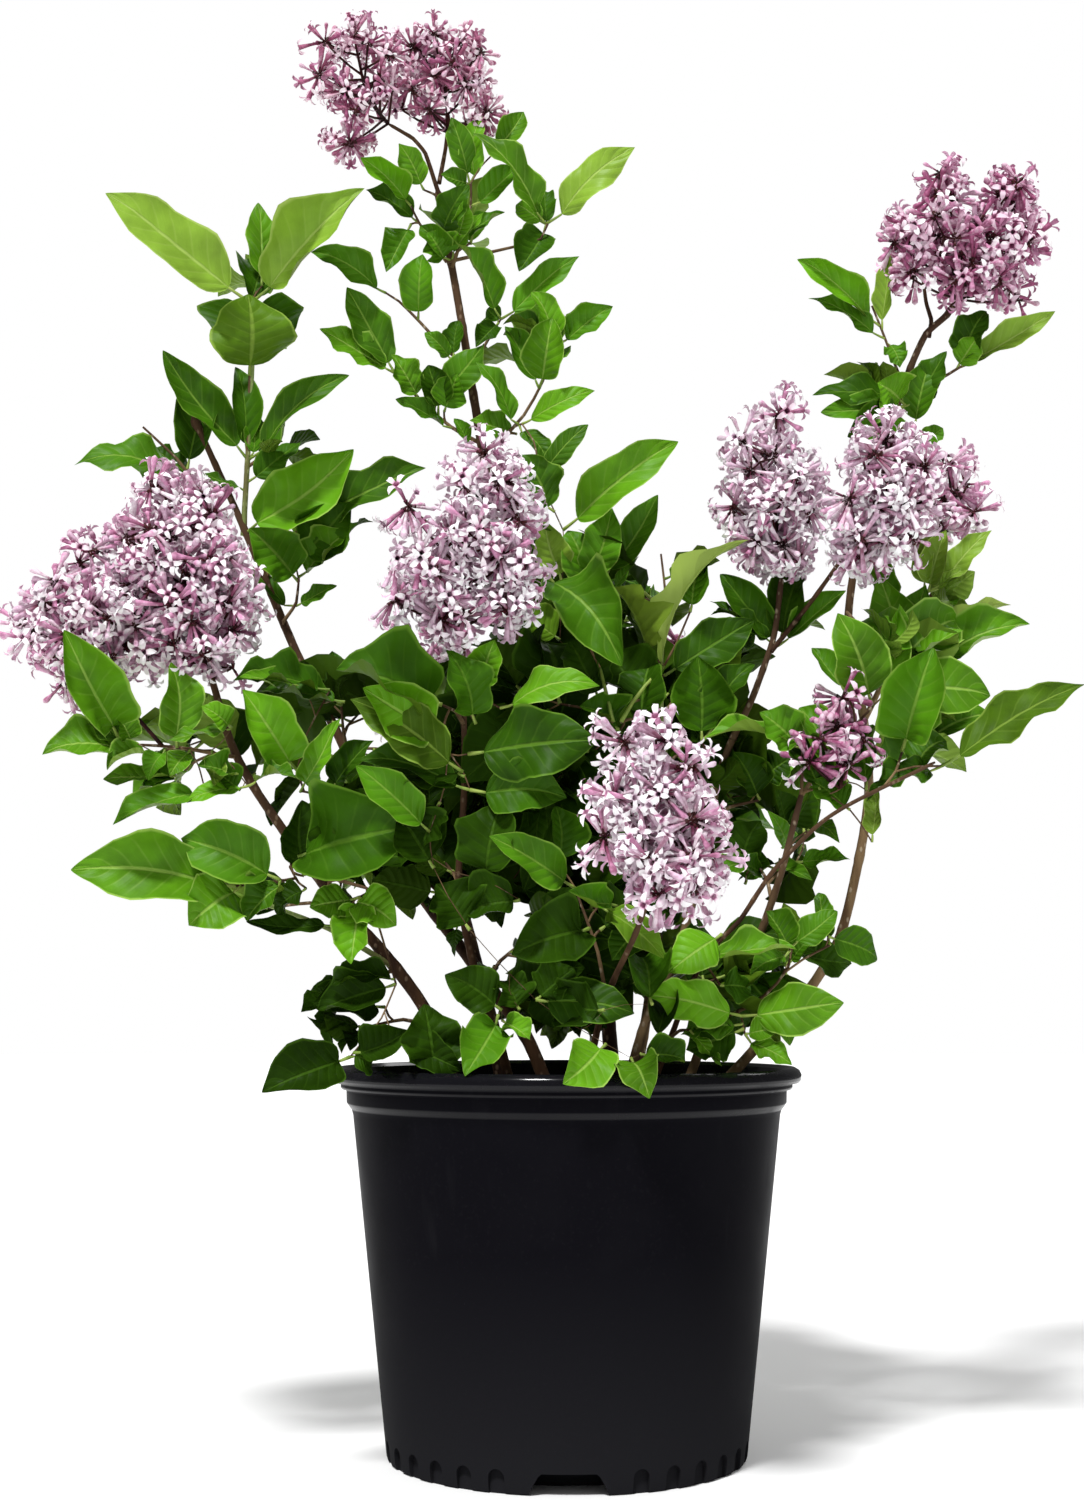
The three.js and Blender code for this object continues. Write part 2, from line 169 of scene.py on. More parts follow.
NOTCHES = 3
NOTCH_DEPTH = 21.6
SCALLOPS_BETWEEN = 8        # from one notch to the next
SCALLOP_DEPTH = 2.2
SCALLOP_HALF_WIDTH = 4.8
SCALLOP_ARCH_FOOT = 8.7     # where its straight sides end and its arch begins
CUT_FROM = -1.0             # the cutters start this far under the foot
CUT_OUTSIDE = 6.0           # and this far outside it
NOTCH_SIDE = [(22, CUT_FROM), (20.4, 4), (16.8, 10.4), (15.0, 12)]

POT_BLACK = (0.0046, 0.0044, 0.0062, 1)
# The paler colour over the black stands for dust and scuffs, and partly for painted light: up-facing
# parts are painted lighter as if lit from above, and the foot lighter as if lit by the floor.
POT_WORN_AND_LIT = (0.017, 0.017, 0.019, 1)
DUST_AND_TOP_LIGHT_AMOUNT = 0.5
SCUFF_AMOUNT = 0.35
FOOT_DUST_AND_BOUNCE = 0.7
LIGHTER_BELOW = 0.13           # m
ROLL_SHINE = (0.2165, 0.2185)                       # m, it shines from here up
EDGE_SHINE = ((0.2038, 0.0022), (0.2145, 0.0009))   # m, height and reach of two polished edges


def wall_radius(height):
    """Outside radius of the pot's wall at this height."""
    return FOOT_RADIUS + (SHOULDER_RADIUS - FOOT_RADIUS) * height / BAND_FOOT


POT_PROFILE = [
    (0, 0), (UNDERSIDE_DISC, 0), (UNDERSIDE_DISC + 1.6, CHANNEL_HEIGHT),
    (FOOT_RADIUS - FOOT_RING - 1.4, CHANNEL_HEIGHT), (FOOT_RADIUS - FOOT_RING, 0.2),
    (FOOT_RADIUS - 1.9, 0), (FOOT_RADIUS - 0.5, 0.8), (wall_radius(3), 3),
    (wall_radius(16), 16), (wall_radius(70), 70), (wall_radius(140), 140),
    (wall_radius(BAND_FOOT - 3), BAND_FOOT - 3), (SHOULDER_RADIUS + 0.5, BAND_FOOT),
    (BAND_RADIUS - 1.4, BAND_FOOT + 2.2), (BAND_RADIUS, BAND_FOOT + 4.4),
    (BAND_RADIUS + 0.2, STEP_FOOT - 1.2), (BAND_RADIUS + 1.2, STEP_FOOT - 0.2),
    (STEP_RADIUS - 0.7, STEP_FOOT), (STEP_RADIUS, STEP_FOOT + 0.9),
    (STEP_RADIUS, ROLL_FOOT - 0.9), (STEP_RADIUS + 0.8, ROLL_FOOT),
    (RIM_RADIUS - 1.6, ROLL_FOOT + 0.1), (RIM_RADIUS - 0.3, ROLL_FOOT + 1.6),
    (RIM_RADIUS, ROLL_FOOT + 4.6), (RIM_RADIUS - 1.2, POT_HEIGHT - 1.8),
    (RIM_RADIUS - 3.8, POT_HEIGHT - 0.2), (RIM_RADIUS - 6.2, POT_HEIGHT - 0.4),
    (RIM_RADIUS - 8.4, POT_HEIGHT - 2.2), (RIM_RADIUS - 9.4, POT_HEIGHT - 6),
    (wall_radius(BAND_FOOT) - WALL, BAND_FOOT), (wall_radius(18) - WALL, 18),
    (wall_radius(16) - WALL - 3, 14.6), (UNDERSIDE_DISC, 14), (UNDERSIDE_DISC - 3, WALL),
    (0, WALL),
]


def spun(profile, steps):
    """A closed round shape: the profile of (radius, height) in mm turned once about the axis."""
    shape = bmesh.new()
    line = [shape.verts.new((radius * MM, 0, height * MM)) for radius, height in profile]
    edges = [shape.edges.new(pair) for pair in zip(line, line[1:])]
    bmesh.ops.spin(shape, geom=line + edges, cent=(0, 0, 0), axis=(0, 0, 1), angle=tau,
                   steps=steps, use_merge=True)
    bmesh.ops.remove_doubles(shape, verts=shape.verts, dist=SAME_POINT * MM)
    bmesh.ops.recalc_face_normals(shape, faces=shape.faces)
    return shape


def smooth_with_creases(mesh, angle):
    """Shades a mesh smooth, but keeps the edges that are sharper than `angle` crisp."""
    shape = bmesh.new()
    shape.from_mesh(mesh)
    for face in shape.faces:
        face.smooth = True
    for edge in shape.edges:
        if len(edge.link_faces) == 2:
            edge.smooth = edge.calc_face_angle() < angle
    shape.to_mesh(mesh)
    shape.free()


def foot_cutter(shape, outline, depth, angle):
    """Adds a block to `shape` that goes this far into the foot of the wall. Angle 0 is the front."""
    front = -(FOOT_RADIUS + CUT_OUTSIDE)
    corners = [shape.verts.new((x * MM, front * MM, z * MM)) for x, z in outline]
    face = shape.faces.new(corners)
    grown = bmesh.ops.extrude_face_region(shape, geom=[face])["geom"]
    moved = [part for part in grown if isinstance(part, bmesh.types.BMVert)]
    bmesh.ops.translate(shape, verts=moved, vec=(0, (depth + CUT_OUTSIDE) * MM, 0))
    turn = Matrix.Rotation(angle, 3, "Z")
    bmesh.ops.rotate(shape, verts=corners + moved, cent=(0, 0, 0), matrix=turn)


def scallop_outline():
    """A half-round arch on straight sides."""
    arch = [(SCALLOP_HALF_WIDTH * cos(a), SCALLOP_ARCH_FOOT + SCALLOP_HALF_WIDTH * sin(a))
            for a in np.linspace(0, pi, 9)]
    return [(SCALLOP_HALF_WIDTH, CUT_FROM), *arch, (-SCALLOP_HALF_WIDTH, CUT_FROM)]


pot_mesh = mesh_of(spun(POT_PROFILE, ROUND_STEPS), "pot")

notch_outline = NOTCH_SIDE + [(-x, z) for x, z in reversed(NOTCH_SIDE)]
cutter_shape = bmesh.new()
notch_turn = tau / NOTCHES
for notch in range(NOTCHES):
    foot_cutter(cutter_shape, notch_outline, NOTCH_DEPTH, notch * notch_turn)
    for i in range(SCALLOPS_BETWEEN):
        scallop_turn = (notch + (i + 2) / (SCALLOPS_BETWEEN + 3)) * notch_turn
        foot_cutter(cutter_shape, scallop_outline(), SCALLOP_DEPTH, scallop_turn)
bmesh.ops.recalc_face_normals(cutter_shape, faces=cutter_shape.faces)

plastic, tree, shader = material("black_plastic", 0.4, 0.008)
pot = new_object("nursery_pot", pot_mesh, plastic)
cutter = bpy.data.objects.new("foot_cutters", mesh_of(cutter_shape, "foot_cutters"))
scene.collection.objects.link(cutter)
cut = pot.modifiers.new("foot", "BOOLEAN")
cut.object = cutter
cut.solver = "EXACT"
bpy.context.view_layer.update()
cut_mesh = bpy.data.meshes.new_from_object(
    pot.evaluated_get(bpy.context.evaluated_depsgraph_get()))
pot.modifiers.clear()
pot.data = cut_mesh
bpy.data.objects.remove(cutter)
smooth_with_creases(cut_mesh, CREASE)


def part_of_bush(piece, slot, *nodes):
    """A finished piece stands on the one body and stands for these nodes of the frame."""
    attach(piece, "root")
    if nodes:
        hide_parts(*nodes)


def node_group(name, inputs, outputs):
    """A new shader group, with a float or vector socket for each named input and output."""
    group = bpy.data.node_groups.new(name, "ShaderNodeTree")
    for side, sockets in (("INPUT", inputs), ("OUTPUT", outputs)):
        for label, kind in sockets.items():
            group.interface.new_socket(label, in_out=side, socket_type="NodeSocket" + kind)
    return group, group.nodes.new("NodeGroupInput"), group.nodes.new("NodeGroupOutput")


def add(tree, kind, **values):
    """A new node in a tree, with its settings and the default values of its inputs."""
    made = tree.nodes.new("ShaderNode" + kind)
    for name, value in values.items():
        if name in ("operation", "data_type", "attribute_name", "uv_map", "node_tree"):
            setattr(made, name, value)
        else:
            made.inputs[name.replace("_", " ")].default_value = value
    return made


def feed(tree, socket, value):
    """Feeds an input from another node's socket, or sets it to a plain number or colour."""
    if isinstance(value, bpy.types.NodeSocket):
        tree.links.new(value, socket)
    else:
        socket.default_value = value


def compute(tree, operation, *values):
    """The output of a Math node. Each value may be a number or a socket."""
    made = add(tree, "Math", operation=operation)
    for socket, value in zip(made.inputs, values):
        feed(tree, socket, value)
    return made.outputs[0]


def mixed(tree, share, first, second):
    """The output of a colour mix. Each colour may be a socket or a plain colour."""
    made = add(tree, "Mix", data_type="RGBA")
    tree.links.new(share, made.inputs["Factor"])
    feed(tree, made.inputs[6], first)
    feed(tree, made.inputs[7], second)
    return made.outputs[2]


def stretched(tree, vector, scale):
    """Coordinates scaled along x, y and z. A pattern on them is drawn out where the scale is low."""
    mapping = add(tree, "Mapping", Scale=scale)
    tree.links.new(vector, mapping.inputs["Vector"])
    return mapping.outputs[0]


def fractal(tree, vector, scale, detail=3.0):
    """The output of a Noise texture."""
    made = add(tree, "TexNoise", Scale=scale, Detail=detail)
    tree.links.new(vector, made.inputs["Vector"])
    return made.outputs["Fac"]


def ramped(tree, value, low, high, start=0.0, end=1.0):
    """The value's way from `low` to `high`, held between `start` and `end`."""
    made = add(tree, "MapRange", From_Min=low, From_Max=high, To_Min=start, To_Max=end)
    tree.links.new(value, made.inputs["Value"])
    return made.outputs[0]


def bumpy(tree, shader, height, strength, distance):
    """Makes a finish uneven by this height, which is `distance` in metres at the most."""
    bump = add(tree, "Bump", Strength=strength, Distance=distance)
    tree.links.new(height, bump.inputs["Height"])
    tree.links.new(bump.outputs[0], shader.inputs["Normal"])


def grouped(tree, group, vector):
    """A group placed in a material, with its pattern on these coordinates."""
    made = add(tree, "Group", node_tree=group)
    tree.links.new(vector, made.inputs[0])
    return made


# Dust in specks and patches, strongest on up-facing parts: that share is painted light from above,
# which lightens the top of the rim.
dust_and_top_light, dust_and_light_in, dust_and_light_out = node_group(
    "dust_and_painted_top_light", {"Vector": "Vector", "Amount": "Float"}, {"Mask": "Float"})
facing = add(dust_and_top_light, "SeparateXYZ")
dust_and_top_light.links.new(add(dust_and_top_light, "NewGeometry").outputs["Normal"], facing.inputs[0])
painted_top_light = ramped(dust_and_top_light, facing.outputs["Z"], -0.2, 1.0, 0.25, 1.0)
dust_specks = ramped(dust_and_top_light, fractal(dust_and_top_light, dust_and_light_in.outputs["Vector"], 420.0, 2.0), 0.56, 0.74)
dust_cloud = ramped(dust_and_top_light, fractal(dust_and_top_light, dust_and_light_in.outputs["Vector"], 26.0), 0.42, 0.72)
dust_both = compute(dust_and_top_light, "MAXIMUM", dust_specks, compute(dust_and_top_light, "MULTIPLY", dust_cloud, 0.55))
dust_and_top_light_mask = compute(dust_and_top_light, "MULTIPLY", compute(dust_and_top_light, "MULTIPLY", dust_both, painted_top_light),
                    dust_and_light_in.outputs["Amount"])
dust_and_top_light.links.new(dust_and_top_light_mask, dust_and_light_out.inputs["Mask"])

place = add(tree, "TexCoord").outputs["Object"]
pot_axes = add(tree, "SeparateXYZ")
tree.links.new(place, pot_axes.inputs[0])
height = pot_axes.outputs["Z"]
dusted_and_lit = grouped(tree, dust_and_top_light, place)
dusted_and_lit.inputs["Amount"].default_value = DUST_AND_TOP_LIGHT_AMOUNT
scuffs = ramped(tree, fractal(tree, stretched(tree, place, (1, 1, 0.15)), 60.0, 4.0), 0.6, 0.78)
worn_and_lit = compute(tree, "MAXIMUM", dusted_and_lit.outputs["Mask"],
               compute(tree, "MULTIPLY", scuffs, SCUFF_AMOUNT))
# Lighter towards the foot: partly dust, partly painted light bounced up from the floor.
worn_and_lit = compute(tree, "MAXIMUM", worn_and_lit, ramped(tree, height, LIGHTER_BELOW, 0.0, 0.0, FOOT_DUST_AND_BOUNCE))
tree.links.new(mixed(tree, worn_and_lit, POT_BLACK, POT_WORN_AND_LIT), shader.inputs["Base Color"])
polish = ramped(tree, height, *ROLL_SHINE)
for edge_height, reach in EDGE_SHINE:
    off_edge = compute(tree, "ABSOLUTE", compute(tree, "SUBTRACT", height, edge_height))
    polish = compute(tree, "MAXIMUM", polish, ramped(tree, off_edge, reach, reach * 0.6, 0.0, 0.8))
sheen = compute(tree, "MULTIPLY_ADD", fractal(tree, place, 34.0), 0.16, 0.3)
rough = compute(tree, "ADD", sheen, compute(tree, "MULTIPLY", worn_and_lit, 0.3))
tree.links.new(compute(tree, "MULTIPLY_ADD", polish, -0.12, rough), shader.inputs["Roughness"])
tree.links.new(compute(tree, "MULTIPLY", polish, 0.42), shader.inputs["Coat Weight"])
shader.inputs["Coat Roughness"].default_value = 0.12
bumpy(tree, shader, fractal(tree, place, 900.0, 2.0), 0.12, 0.0004)
part_of_bush(pot, "black_plastic", "pot")


# ------------------------------------------------------------------------------------------------
# Potting mix
# The pot is filled to about 24 mm under its rim with dark peat and bark. The surface is uneven and
# strewn with loose chips of bark.
# ------------------------------------------------------------------------------------------------

SOIL_TOP = 203.0
SOIL_FOOT = 150.0
SOIL_GAP = 0.6              # between the mix and the wall
SOIL_EDGE = wall_radius(SOIL_TOP) - WALL - SOIL_GAP
SOIL_RINGS = 30
SOIL_SIDES = 90
SOIL_LUMPS = ((60, 2.4), (240, 1.6))    # how fine they are, and their height
SOIL_SINK = 1.2             # how far the surface has settled
PEAT = (0.022, 0.014, 0.009, 1)
PEAT_DRY = (0.072, 0.046, 0.03, 1)
CHIP = (0.11, 0.062, 0.036, 1)
CHIPS = 420
CHIP_SEED = 5
CHIP_SHAPE = (1.0, 0.55, 0.26)          # its length, width and thickness against each other
CHIP_HALF_LENGTHS = (1.6, 4.6)
CHIP_TILT = 0.35
CHIP_UNEVEN = 0.22

soil_profile = [(SOIL_EDGE * i / SOIL_RINGS, SOIL_TOP) for i in range(SOIL_RINGS)]
soil_profile += [(SOIL_EDGE, SOIL_TOP - 3), (wall_radius(SOIL_FOOT) - WALL - SOIL_GAP, SOIL_FOOT),
                 (0, SOIL_FOOT)]
soil_shape = spun(soil_profile, SOIL_SIDES)
for vertex in soil_shape.verts:
    if vertex.co.z > (SOIL_TOP - 1) * MM:
        lumps = sum(noise.noise(vertex.co * fine) * high for fine, high in SOIL_LUMPS)
        vertex.co.z += (lumps - SOIL_SINK) * MM
soil_mesh = mesh_of(soil_shape, "potting_mix")
soil_mesh.shade_smooth()


def mottled(name, roughness, specular, colours, scale, detail=3.0, span=(0.35, 0.65)):
    """A finish that goes from one colour to another in patches, with its tree, shader and place."""
    made, tree, shader = material(name, roughness, specular)
    place = add(tree, "TexCoord").outputs["Object"]
    patches = ramped(tree, fractal(tree, place, scale, detail), *span)
    tree.links.new(mixed(tree, patches, *colours), shader.inputs["Base Color"])
    return made, tree, shader, place


peat, tree, shader, place = mottled("peat", 0.95, 0.2, (PEAT, PEAT_DRY), 300.0, 6.0, (0.4, 0.66))
bumpy(tree, shader, fractal(tree, place, 420.0, 5.0), 0.9, 0.0015)
soil = new_object("potting_mix", soil_mesh, peat)
part_of_bush(soil, "potting_mix", "soil")


def as_arrays(shape):
    """A bmesh as arrays: its points, and for its faces their corners and where each face starts."""
    shape.verts.index_update()
    points = np.array([vertex.co[:] for vertex in shape.verts])
    corners = np.array([vertex.index for face in shape.faces for vertex in face.verts])
    counts = np.array([len(face.verts) for face in shape.faces])
    shape.free()
    return points, corners, np.cumsum(counts) - counts


def joined_mesh(name, pattern, copies, values=None, uv=None):
    """One smooth mesh of many copies of a pattern. `copies` gives each copy's points, in mm,
    `values` gives point attributes by name, and `uv` the pattern's own map."""
    points, corners, starts = pattern
    count = len(copies)
    mesh = bpy.data.meshes.new(name)
    mesh.vertices.add(count * len(points))
    mesh.vertices.foreach_set("co", (np.asarray(copies) * MM).astype(np.float32).ravel())
    first_points = np.arange(count)[:, None] * len(points)
    mesh.loops.add(count * len(corners))
    mesh.loops.foreach_set("vertex_index", (first_points + corners).astype(np.int32).ravel())
    first_corners = np.arange(count)[:, None] * len(corners)
    mesh.polygons.add(count * len(starts))
    mesh.polygons.foreach_set("loop_start", (first_corners + starts).astype(np.int32).ravel())
    for label, numbers in (values or {}).items():
        attribute = mesh.attributes.new(label, "FLOAT", "POINT")
        attribute.data.foreach_set("value", np.asarray(numbers, np.float32).ravel())
    if uv is not None:
        layer = mesh.uv_layers.new(name="blade")
        layer.data.foreach_set("uv", np.tile(uv[corners], (count, 1)).astype(np.float32).ravel())
    mesh.update(calc_edges=True)
    mesh.validate()
    mesh.shade_smooth()
    return mesh


chip_shape = bmesh.new()
bmesh.ops.create_icosphere(chip_shape, subdivisions=1, radius=1.0)
chip_pattern = as_arrays(chip_shape)
luck = np.random.default_rng(CHIP_SEED)
chip_copies = []
for i in range(CHIPS):
    radius = SOIL_EDGE * 0.97 * luck.random() ** 0.5
    angle = luck.random() * tau
    size = np.array(CHIP_SHAPE) * luck.uniform(*CHIP_HALF_LENGTHS) * luck.uniform(0.8, 1.2, 3)
    turned = Matrix.Rotation(luck.random() * tau, 3, "Z")
    tipped = turned @ Matrix.Rotation(luck.normal(0, CHIP_TILT), 3, "X")
    uneven = 1 + luck.uniform(-CHIP_UNEVEN, CHIP_UNEVEN, (len(chip_pattern[0]), 1))
    centre = np.array((radius * cos(angle), radius * sin(angle), SOIL_TOP - SOIL_SINK))
    chip_copies.append(chip_pattern[0] * uneven * size @ np.array(tipped).T + centre)
chip_mesh = joined_mesh("bark_chips", chip_pattern, chip_copies)
chip_finish, tree, shader, place = mottled("bark_chip", 0.9, 0.25, (PEAT, CHIP), 180.0, 4.0,
                                           (0.35, 0.68))
bumpy(tree, shader, fractal(tree, place, 800.0), 0.6, 0.0006)
chips = new_object("bark_chips", chip_mesh, chip_finish)
part_of_bush(chips, "potting_mix")


# ------------------------------------------------------------------------------------------------
# Stems and boughs
# Eleven woody stems rise from the mix and lean outward, with a few boughs and stalks on them. Their
# bark is dark brown, tan or, on young shoots, green, with swollen nodes and pale lenticels.
# ------------------------------------------------------------------------------------------------

GROUND = 203.3
ROOT_FLARE = 1.5            # how many times thicker a stem is where it leaves the mix
FLARE_LENGTH = 16.0
LIMB_SIDES = 12
LIMB_STEP = 3.2             # from one ring of a limb to the next
NODE_STEP = 46.0            # from one pair of old leaf scars to the next
NODE_SWELL = 0.16           # in shares of the limb's radius at its tip
NODE_LENGTH = 2.6
BUDDED_LIMB = "stem_back_left"  # it ends in a fat closed bud
BUD_SWELL = 1.5
BUD_LENGTH = 4.5
BUD_BELOW_TIP = 6.0
RIDGE_HEIGHT = 0.1          # of the bark, in shares of the radius there
CURVE_SAMPLES = 16          # from one point of a path to the next
SHORT_GAP = 60.0            # points nearer than this bend a path more gently

# Each limb: its radius at the foot and at the tip, its bark, and its path.
LIMBS = {
    "stem_left": (4.4, 1.7, "dark", [(-62, -4, GROUND), (-84, -14, 260), (-113, -25, 299),
        (-140, -33, 329), (-190, -48, 401), (-209, -54, 455), (-222, -60, 492)]),
    "stem_back_left": (4.2, 1.9, "dark", [(-8, 22, GROUND), (-24, 23, 243), (-60, 28, 292),
        (-108, 35, 357), (-142, 40, 430), (-168, 42, 480), (-207, 44, 570), (-239, 46, 639)]),
    "stem_tall": (4.6, 2.2, "dark", [(30, 14, GROUND), (21, 20, 290), (0, 28, 358),
        (-16, 32, 421), (-30, 36, 479), (-56, 46, 636), (-68, 50, 710), (-83, 55, 793)]),
    "stem_middle": (3.2, 1.6, "tan", [(32, -14, GROUND), (49, -14, 259), (65, -16, 290),
        (80, -18, 343), (93, -20, 405), (112, -22, 447), (125, -24, 484), (130, -25, 520)]),
    "stem_right": (3.0, 1.7, "tan", [(66, -22, GROUND), (82, -26, 246), (102, -32, 276),
        (116, -40, 312), (126, -46, 343), (137, -55, 387)]),
    "stem_tall_right": (3.3, 2.0, "tan", [(84, 16, GROUND), (124, 20, 246), (151, 22, 275),
        (170, 24, 309), (188, 28, 391), (185, 30, 452), (178, 32, 505), (193, 34, 581),
        (219, 38, 662), (232, 40, 691), (246, 42, 704), (257, 42, 720)]),
    "stem_far_right": (1.8, 1.0, "dark", [(44, -50, GROUND), (76, -65, 286), (98, -72, 311),
        (117, -78, 339), (149, -84, 370), (208, -92, 400)]),
    "stem_front": (2.2, 1.3, "dark", [(8, -48, GROUND), (20, -82, 262), (36, -135, 302),
        (45, -172, 330)]),
    "stem_centre": (2.6, 1.4, "dark", [(-36, -22, GROUND), (-50, -30, 266), (-63, -40, 329),
        (-60, -54, 391), (-60, -88, 478)]),
    "stem_rear_left": (3.8, 1.7, "dark", [(-32, 54, GROUND), (-62, 108, 311), (-82, 150, 390),
        (-86, 180, 452)]),
    "stem_rear_right": (3.6, 1.7, "tan", [(42, 54, GROUND), (62, 110, 311), (74, 155, 390),
        (76, 188, 442)]),
    "bough_low_left": (1.9, 1.2, "green", [(-100, -20, 284), (-138, -45, 307), (-176, -66, 322)]),
    "bough_centre": (1.9, 1.2, "green", [(78, -18, 340), (62, -10, 400), (58, 0, 461),
        (62, 5, 505)]),
    "bough_right_bloom": (1.6, 1.2, "dark", [(123, -24, 474), (148, -32, 505), (166, -40, 530)]),
    "bough_far_bloom": (1.9, 1.3, "tan", [(187, 30, 440), (212, 27, 490), (231, 24, 521),
        (241, 22, 562)]),
    "stalk_top_left": (1.5, 1.1, "dark", [(-81, 54, 786), (-91, 50, 816), (-99, 48, 825),
        (-115, 46, 834)]),
    "stalk_top_right": (1.5, 1.1, "dark", [(-82, 55, 797), (-78, 58, 822), (-76, 60, 846)]),
    "shoot_upper_left": (1.9, 1.3, "green", [(-205, 44, 560), (-202, 44, 636),
        (-200, 42, 690)]),
}
# The stalk under the far top panicle forks. The fork belongs to no limb of the frame's.
FORKS = {
    "fork_top_far_right": (1.5, 1.0, "dark", [(234, 41, 689), (236, 41, 700), (233, 42, 712),
        (231, 43, 732)]),
}


def unit(vectors):
    """The same directions at length 1, for one vector or for rows of them."""
    vectors = np.asarray(vectors, float)
    return vectors / np.maximum(np.linalg.norm(vectors, axis=-1, keepdims=True), 1e-9)


def evenly(path, along, at):
    """The places on a path at these distances from its start."""
    return np.column_stack([np.interp(at, along, path[:, axis]) for axis in range(3)])


def smooth_path(points, step):
    """Places about `step` apart on a smooth curve through the points, and their distances."""
    points = np.asarray(points, float)
    ends = np.vstack([2 * points[0] - points[1], points, 2 * points[-1] - points[-2]])
    t = np.linspace(0, 1, CURVE_SAMPLES, endpoint=False)[:, None]
    stretches = []
    for before, start, end, after in zip(ends, ends[1:], ends[2:], ends[3:]):
        tight = 0.5 * min(1.0, np.linalg.norm(end - start) / SHORT_GAP)
        leave = (end - before) * tight
        arrive = (after - start) * tight
        stretches.append(start * (1 - 3 * t ** 2 + 2 * t ** 3) + end * (3 * t ** 2 - 2 * t ** 3)
                         + leave * (t - 2 * t ** 2 + t ** 3) + arrive * (t ** 3 - t ** 2))
    dense = np.vstack(stretches + [points[-1:]])
    along = np.r_[0, np.cumsum(np.linalg.norm(np.diff(dense, axis=0), axis=1))]
    at = np.linspace(0, along[-1], max(3, round(along[-1] / step) + 1))
    return evenly(dense, along, at), at


def tube_shape(sides, rings):
    """A closed tube of radius 1 along z, whose rings stand at z = 0, 1, 2 and so on."""
    shape = bmesh.new()
    bmesh.ops.create_cone(shape, cap_ends=True, segments=sides, radius1=1.0, radius2=1.0,
                          depth=rings - 1)
    upright = [e for e in shape.edges if abs(e.verts[0].co.z - e.verts[1].co.z) > 0.5]
    if rings > 2:
        bmesh.ops.subdivide_edges(shape, edges=upright, cuts=rings - 2, use_grid_fill=True)
    bmesh.ops.translate(shape, verts=shape.verts, vec=(0, 0, (rings - 1) / 2))
    return shape


def ring_numbers(pattern):
    """Which ring of a tube each of its points is on."""
    return np.rint(pattern[0][:, 2]).astype(int)


def frames_along(paths):
    """Two directions across each place of many paths of equal length."""
    ahead = unit(np.gradient(paths, axis=1))
    chord = unit(paths[:, -1] - paths[:, 0])
    spare = np.where(np.abs(chord[:, 2:]) < 0.8, (0.0, 0.0, 1.0), (0.0, 1.0, 0.0))
    side = unit(np.cross(ahead, spare[:, None, :]))
    return side, np.cross(side, ahead)


def sweep(pattern, paths, radii):
    """Copies of a tube pattern laid along paths. `radii` gives each ring's radius."""
    points = pattern[0]
    ring = ring_numbers(pattern)
    side, over = frames_along(paths)
    return (paths[:, ring] + radii[:, ring, None] * (side[:, ring] * points[:, 0, None]
                                                      + over[:, ring] * points[:, 1, None]))


bark_group, bark_in, bark_out = node_group(
    "bark_pattern", {"Vector": "Vector"}, {"Streaks": "Float", "Lenticels": "Float",
                                           "Height": "Float"})
drawn_out = stretched(bark_group, bark_in.outputs["Vector"], (1, 1, 0.22))
streaks = fractal(bark_group, drawn_out, 90.0, 5.0)
dots = add(bark_group, "TexVoronoi", Scale=230.0)
bark_group.links.new(stretched(bark_group, bark_in.outputs["Vector"], (1, 1, 0.62)),
                     dots.inputs["Vector"])
spots = ramped(bark_group, dots.outputs["Distance"], 0.3, 0.16)
bark_height = compute(bark_group, "MULTIPLY_ADD", spots, 0.5, streaks)
bark_group.links.new(ramped(bark_group, streaks, 0.36, 0.66), bark_out.inputs["Streaks"])
bark_group.links.new(spots, bark_out.inputs["Lenticels"])
bark_group.links.new(bark_height, bark_out.inputs["Height"])


def bark_finish(name, old, new, young, spot, roughness):
    """Bark that goes from its old and new colours at the foot to the young one at the tip."""
    made, tree, shader = material(name, roughness, 0.16)
    pattern = grouped(tree, bark_group, add(tree, "TexCoord").outputs["Object"])
    age = add(tree, "Attribute", attribute_name="age").outputs["Fac"]
    woody = mixed(tree, pattern.outputs["Streaks"], old, new)
    grown = mixed(tree, ramped(tree, age, 0.25, 1.0), woody, young)
    dotted = compute(tree, "MULTIPLY", pattern.outputs["Lenticels"], 0.6)
    tree.links.new(mixed(tree, dotted, grown, spot), shader.inputs["Base Color"])
    bumpy(tree, shader, pattern.outputs["Height"], 0.7, 0.0009)
    return made


# For each kind of bark: its old, new and young colours, its lenticels' colour, its roughness.
BARK_FINISHES = {
    "dark": bark_finish("dark_bark", (0.03, 0.013, 0.008, 1), (0.11, 0.055, 0.026, 1),
                        (0.085, 0.046, 0.024, 1), (0.25, 0.17, 0.11, 1), 0.8),
    "tan": bark_finish("tan_bark", (0.1, 0.056, 0.026, 1), (0.27, 0.18, 0.09, 1),
                       (0.06, 0.03, 0.018, 1), (0.46, 0.37, 0.26, 1), 0.8),
    "green": bark_finish("green_shoot", (0.15, 0.14, 0.05, 1), (0.21, 0.27, 0.08, 1),
                         (0.24, 0.34, 0.1, 1), (0.34, 0.38, 0.16, 1), 0.55),
}

# Every place that later twigs may grow from: where it is, the wood's own way there, its radius.
wood = {"place": np.zeros((0, 3)), "way": np.zeros((0, 3)), "radius": np.zeros(0)}


def remember_wood(path, radii):
    """Adds a limb's or a twig's places to the wood that later twigs may grow from."""
    wood["place"] = np.vstack([wood["place"], path])
    wood["way"] = np.vstack([wood["way"], unit(np.gradient(path, axis=0))])
    wood["radius"] = np.r_[wood["radius"], radii]


def bark_ridge(place, centre, height, offset):
    """How far the bark stands out at a place on a limb: ridges along it, and finer bumps."""
    around = (Vector(place) - Vector(centre)).normalized() * 1.7
    ridge = noise.noise(around + Vector((0, 0, height * 0.035)) + Vector((offset, 0, 0)))
    return ridge + 0.5 * noise.noise(Vector(place) * 0.32)


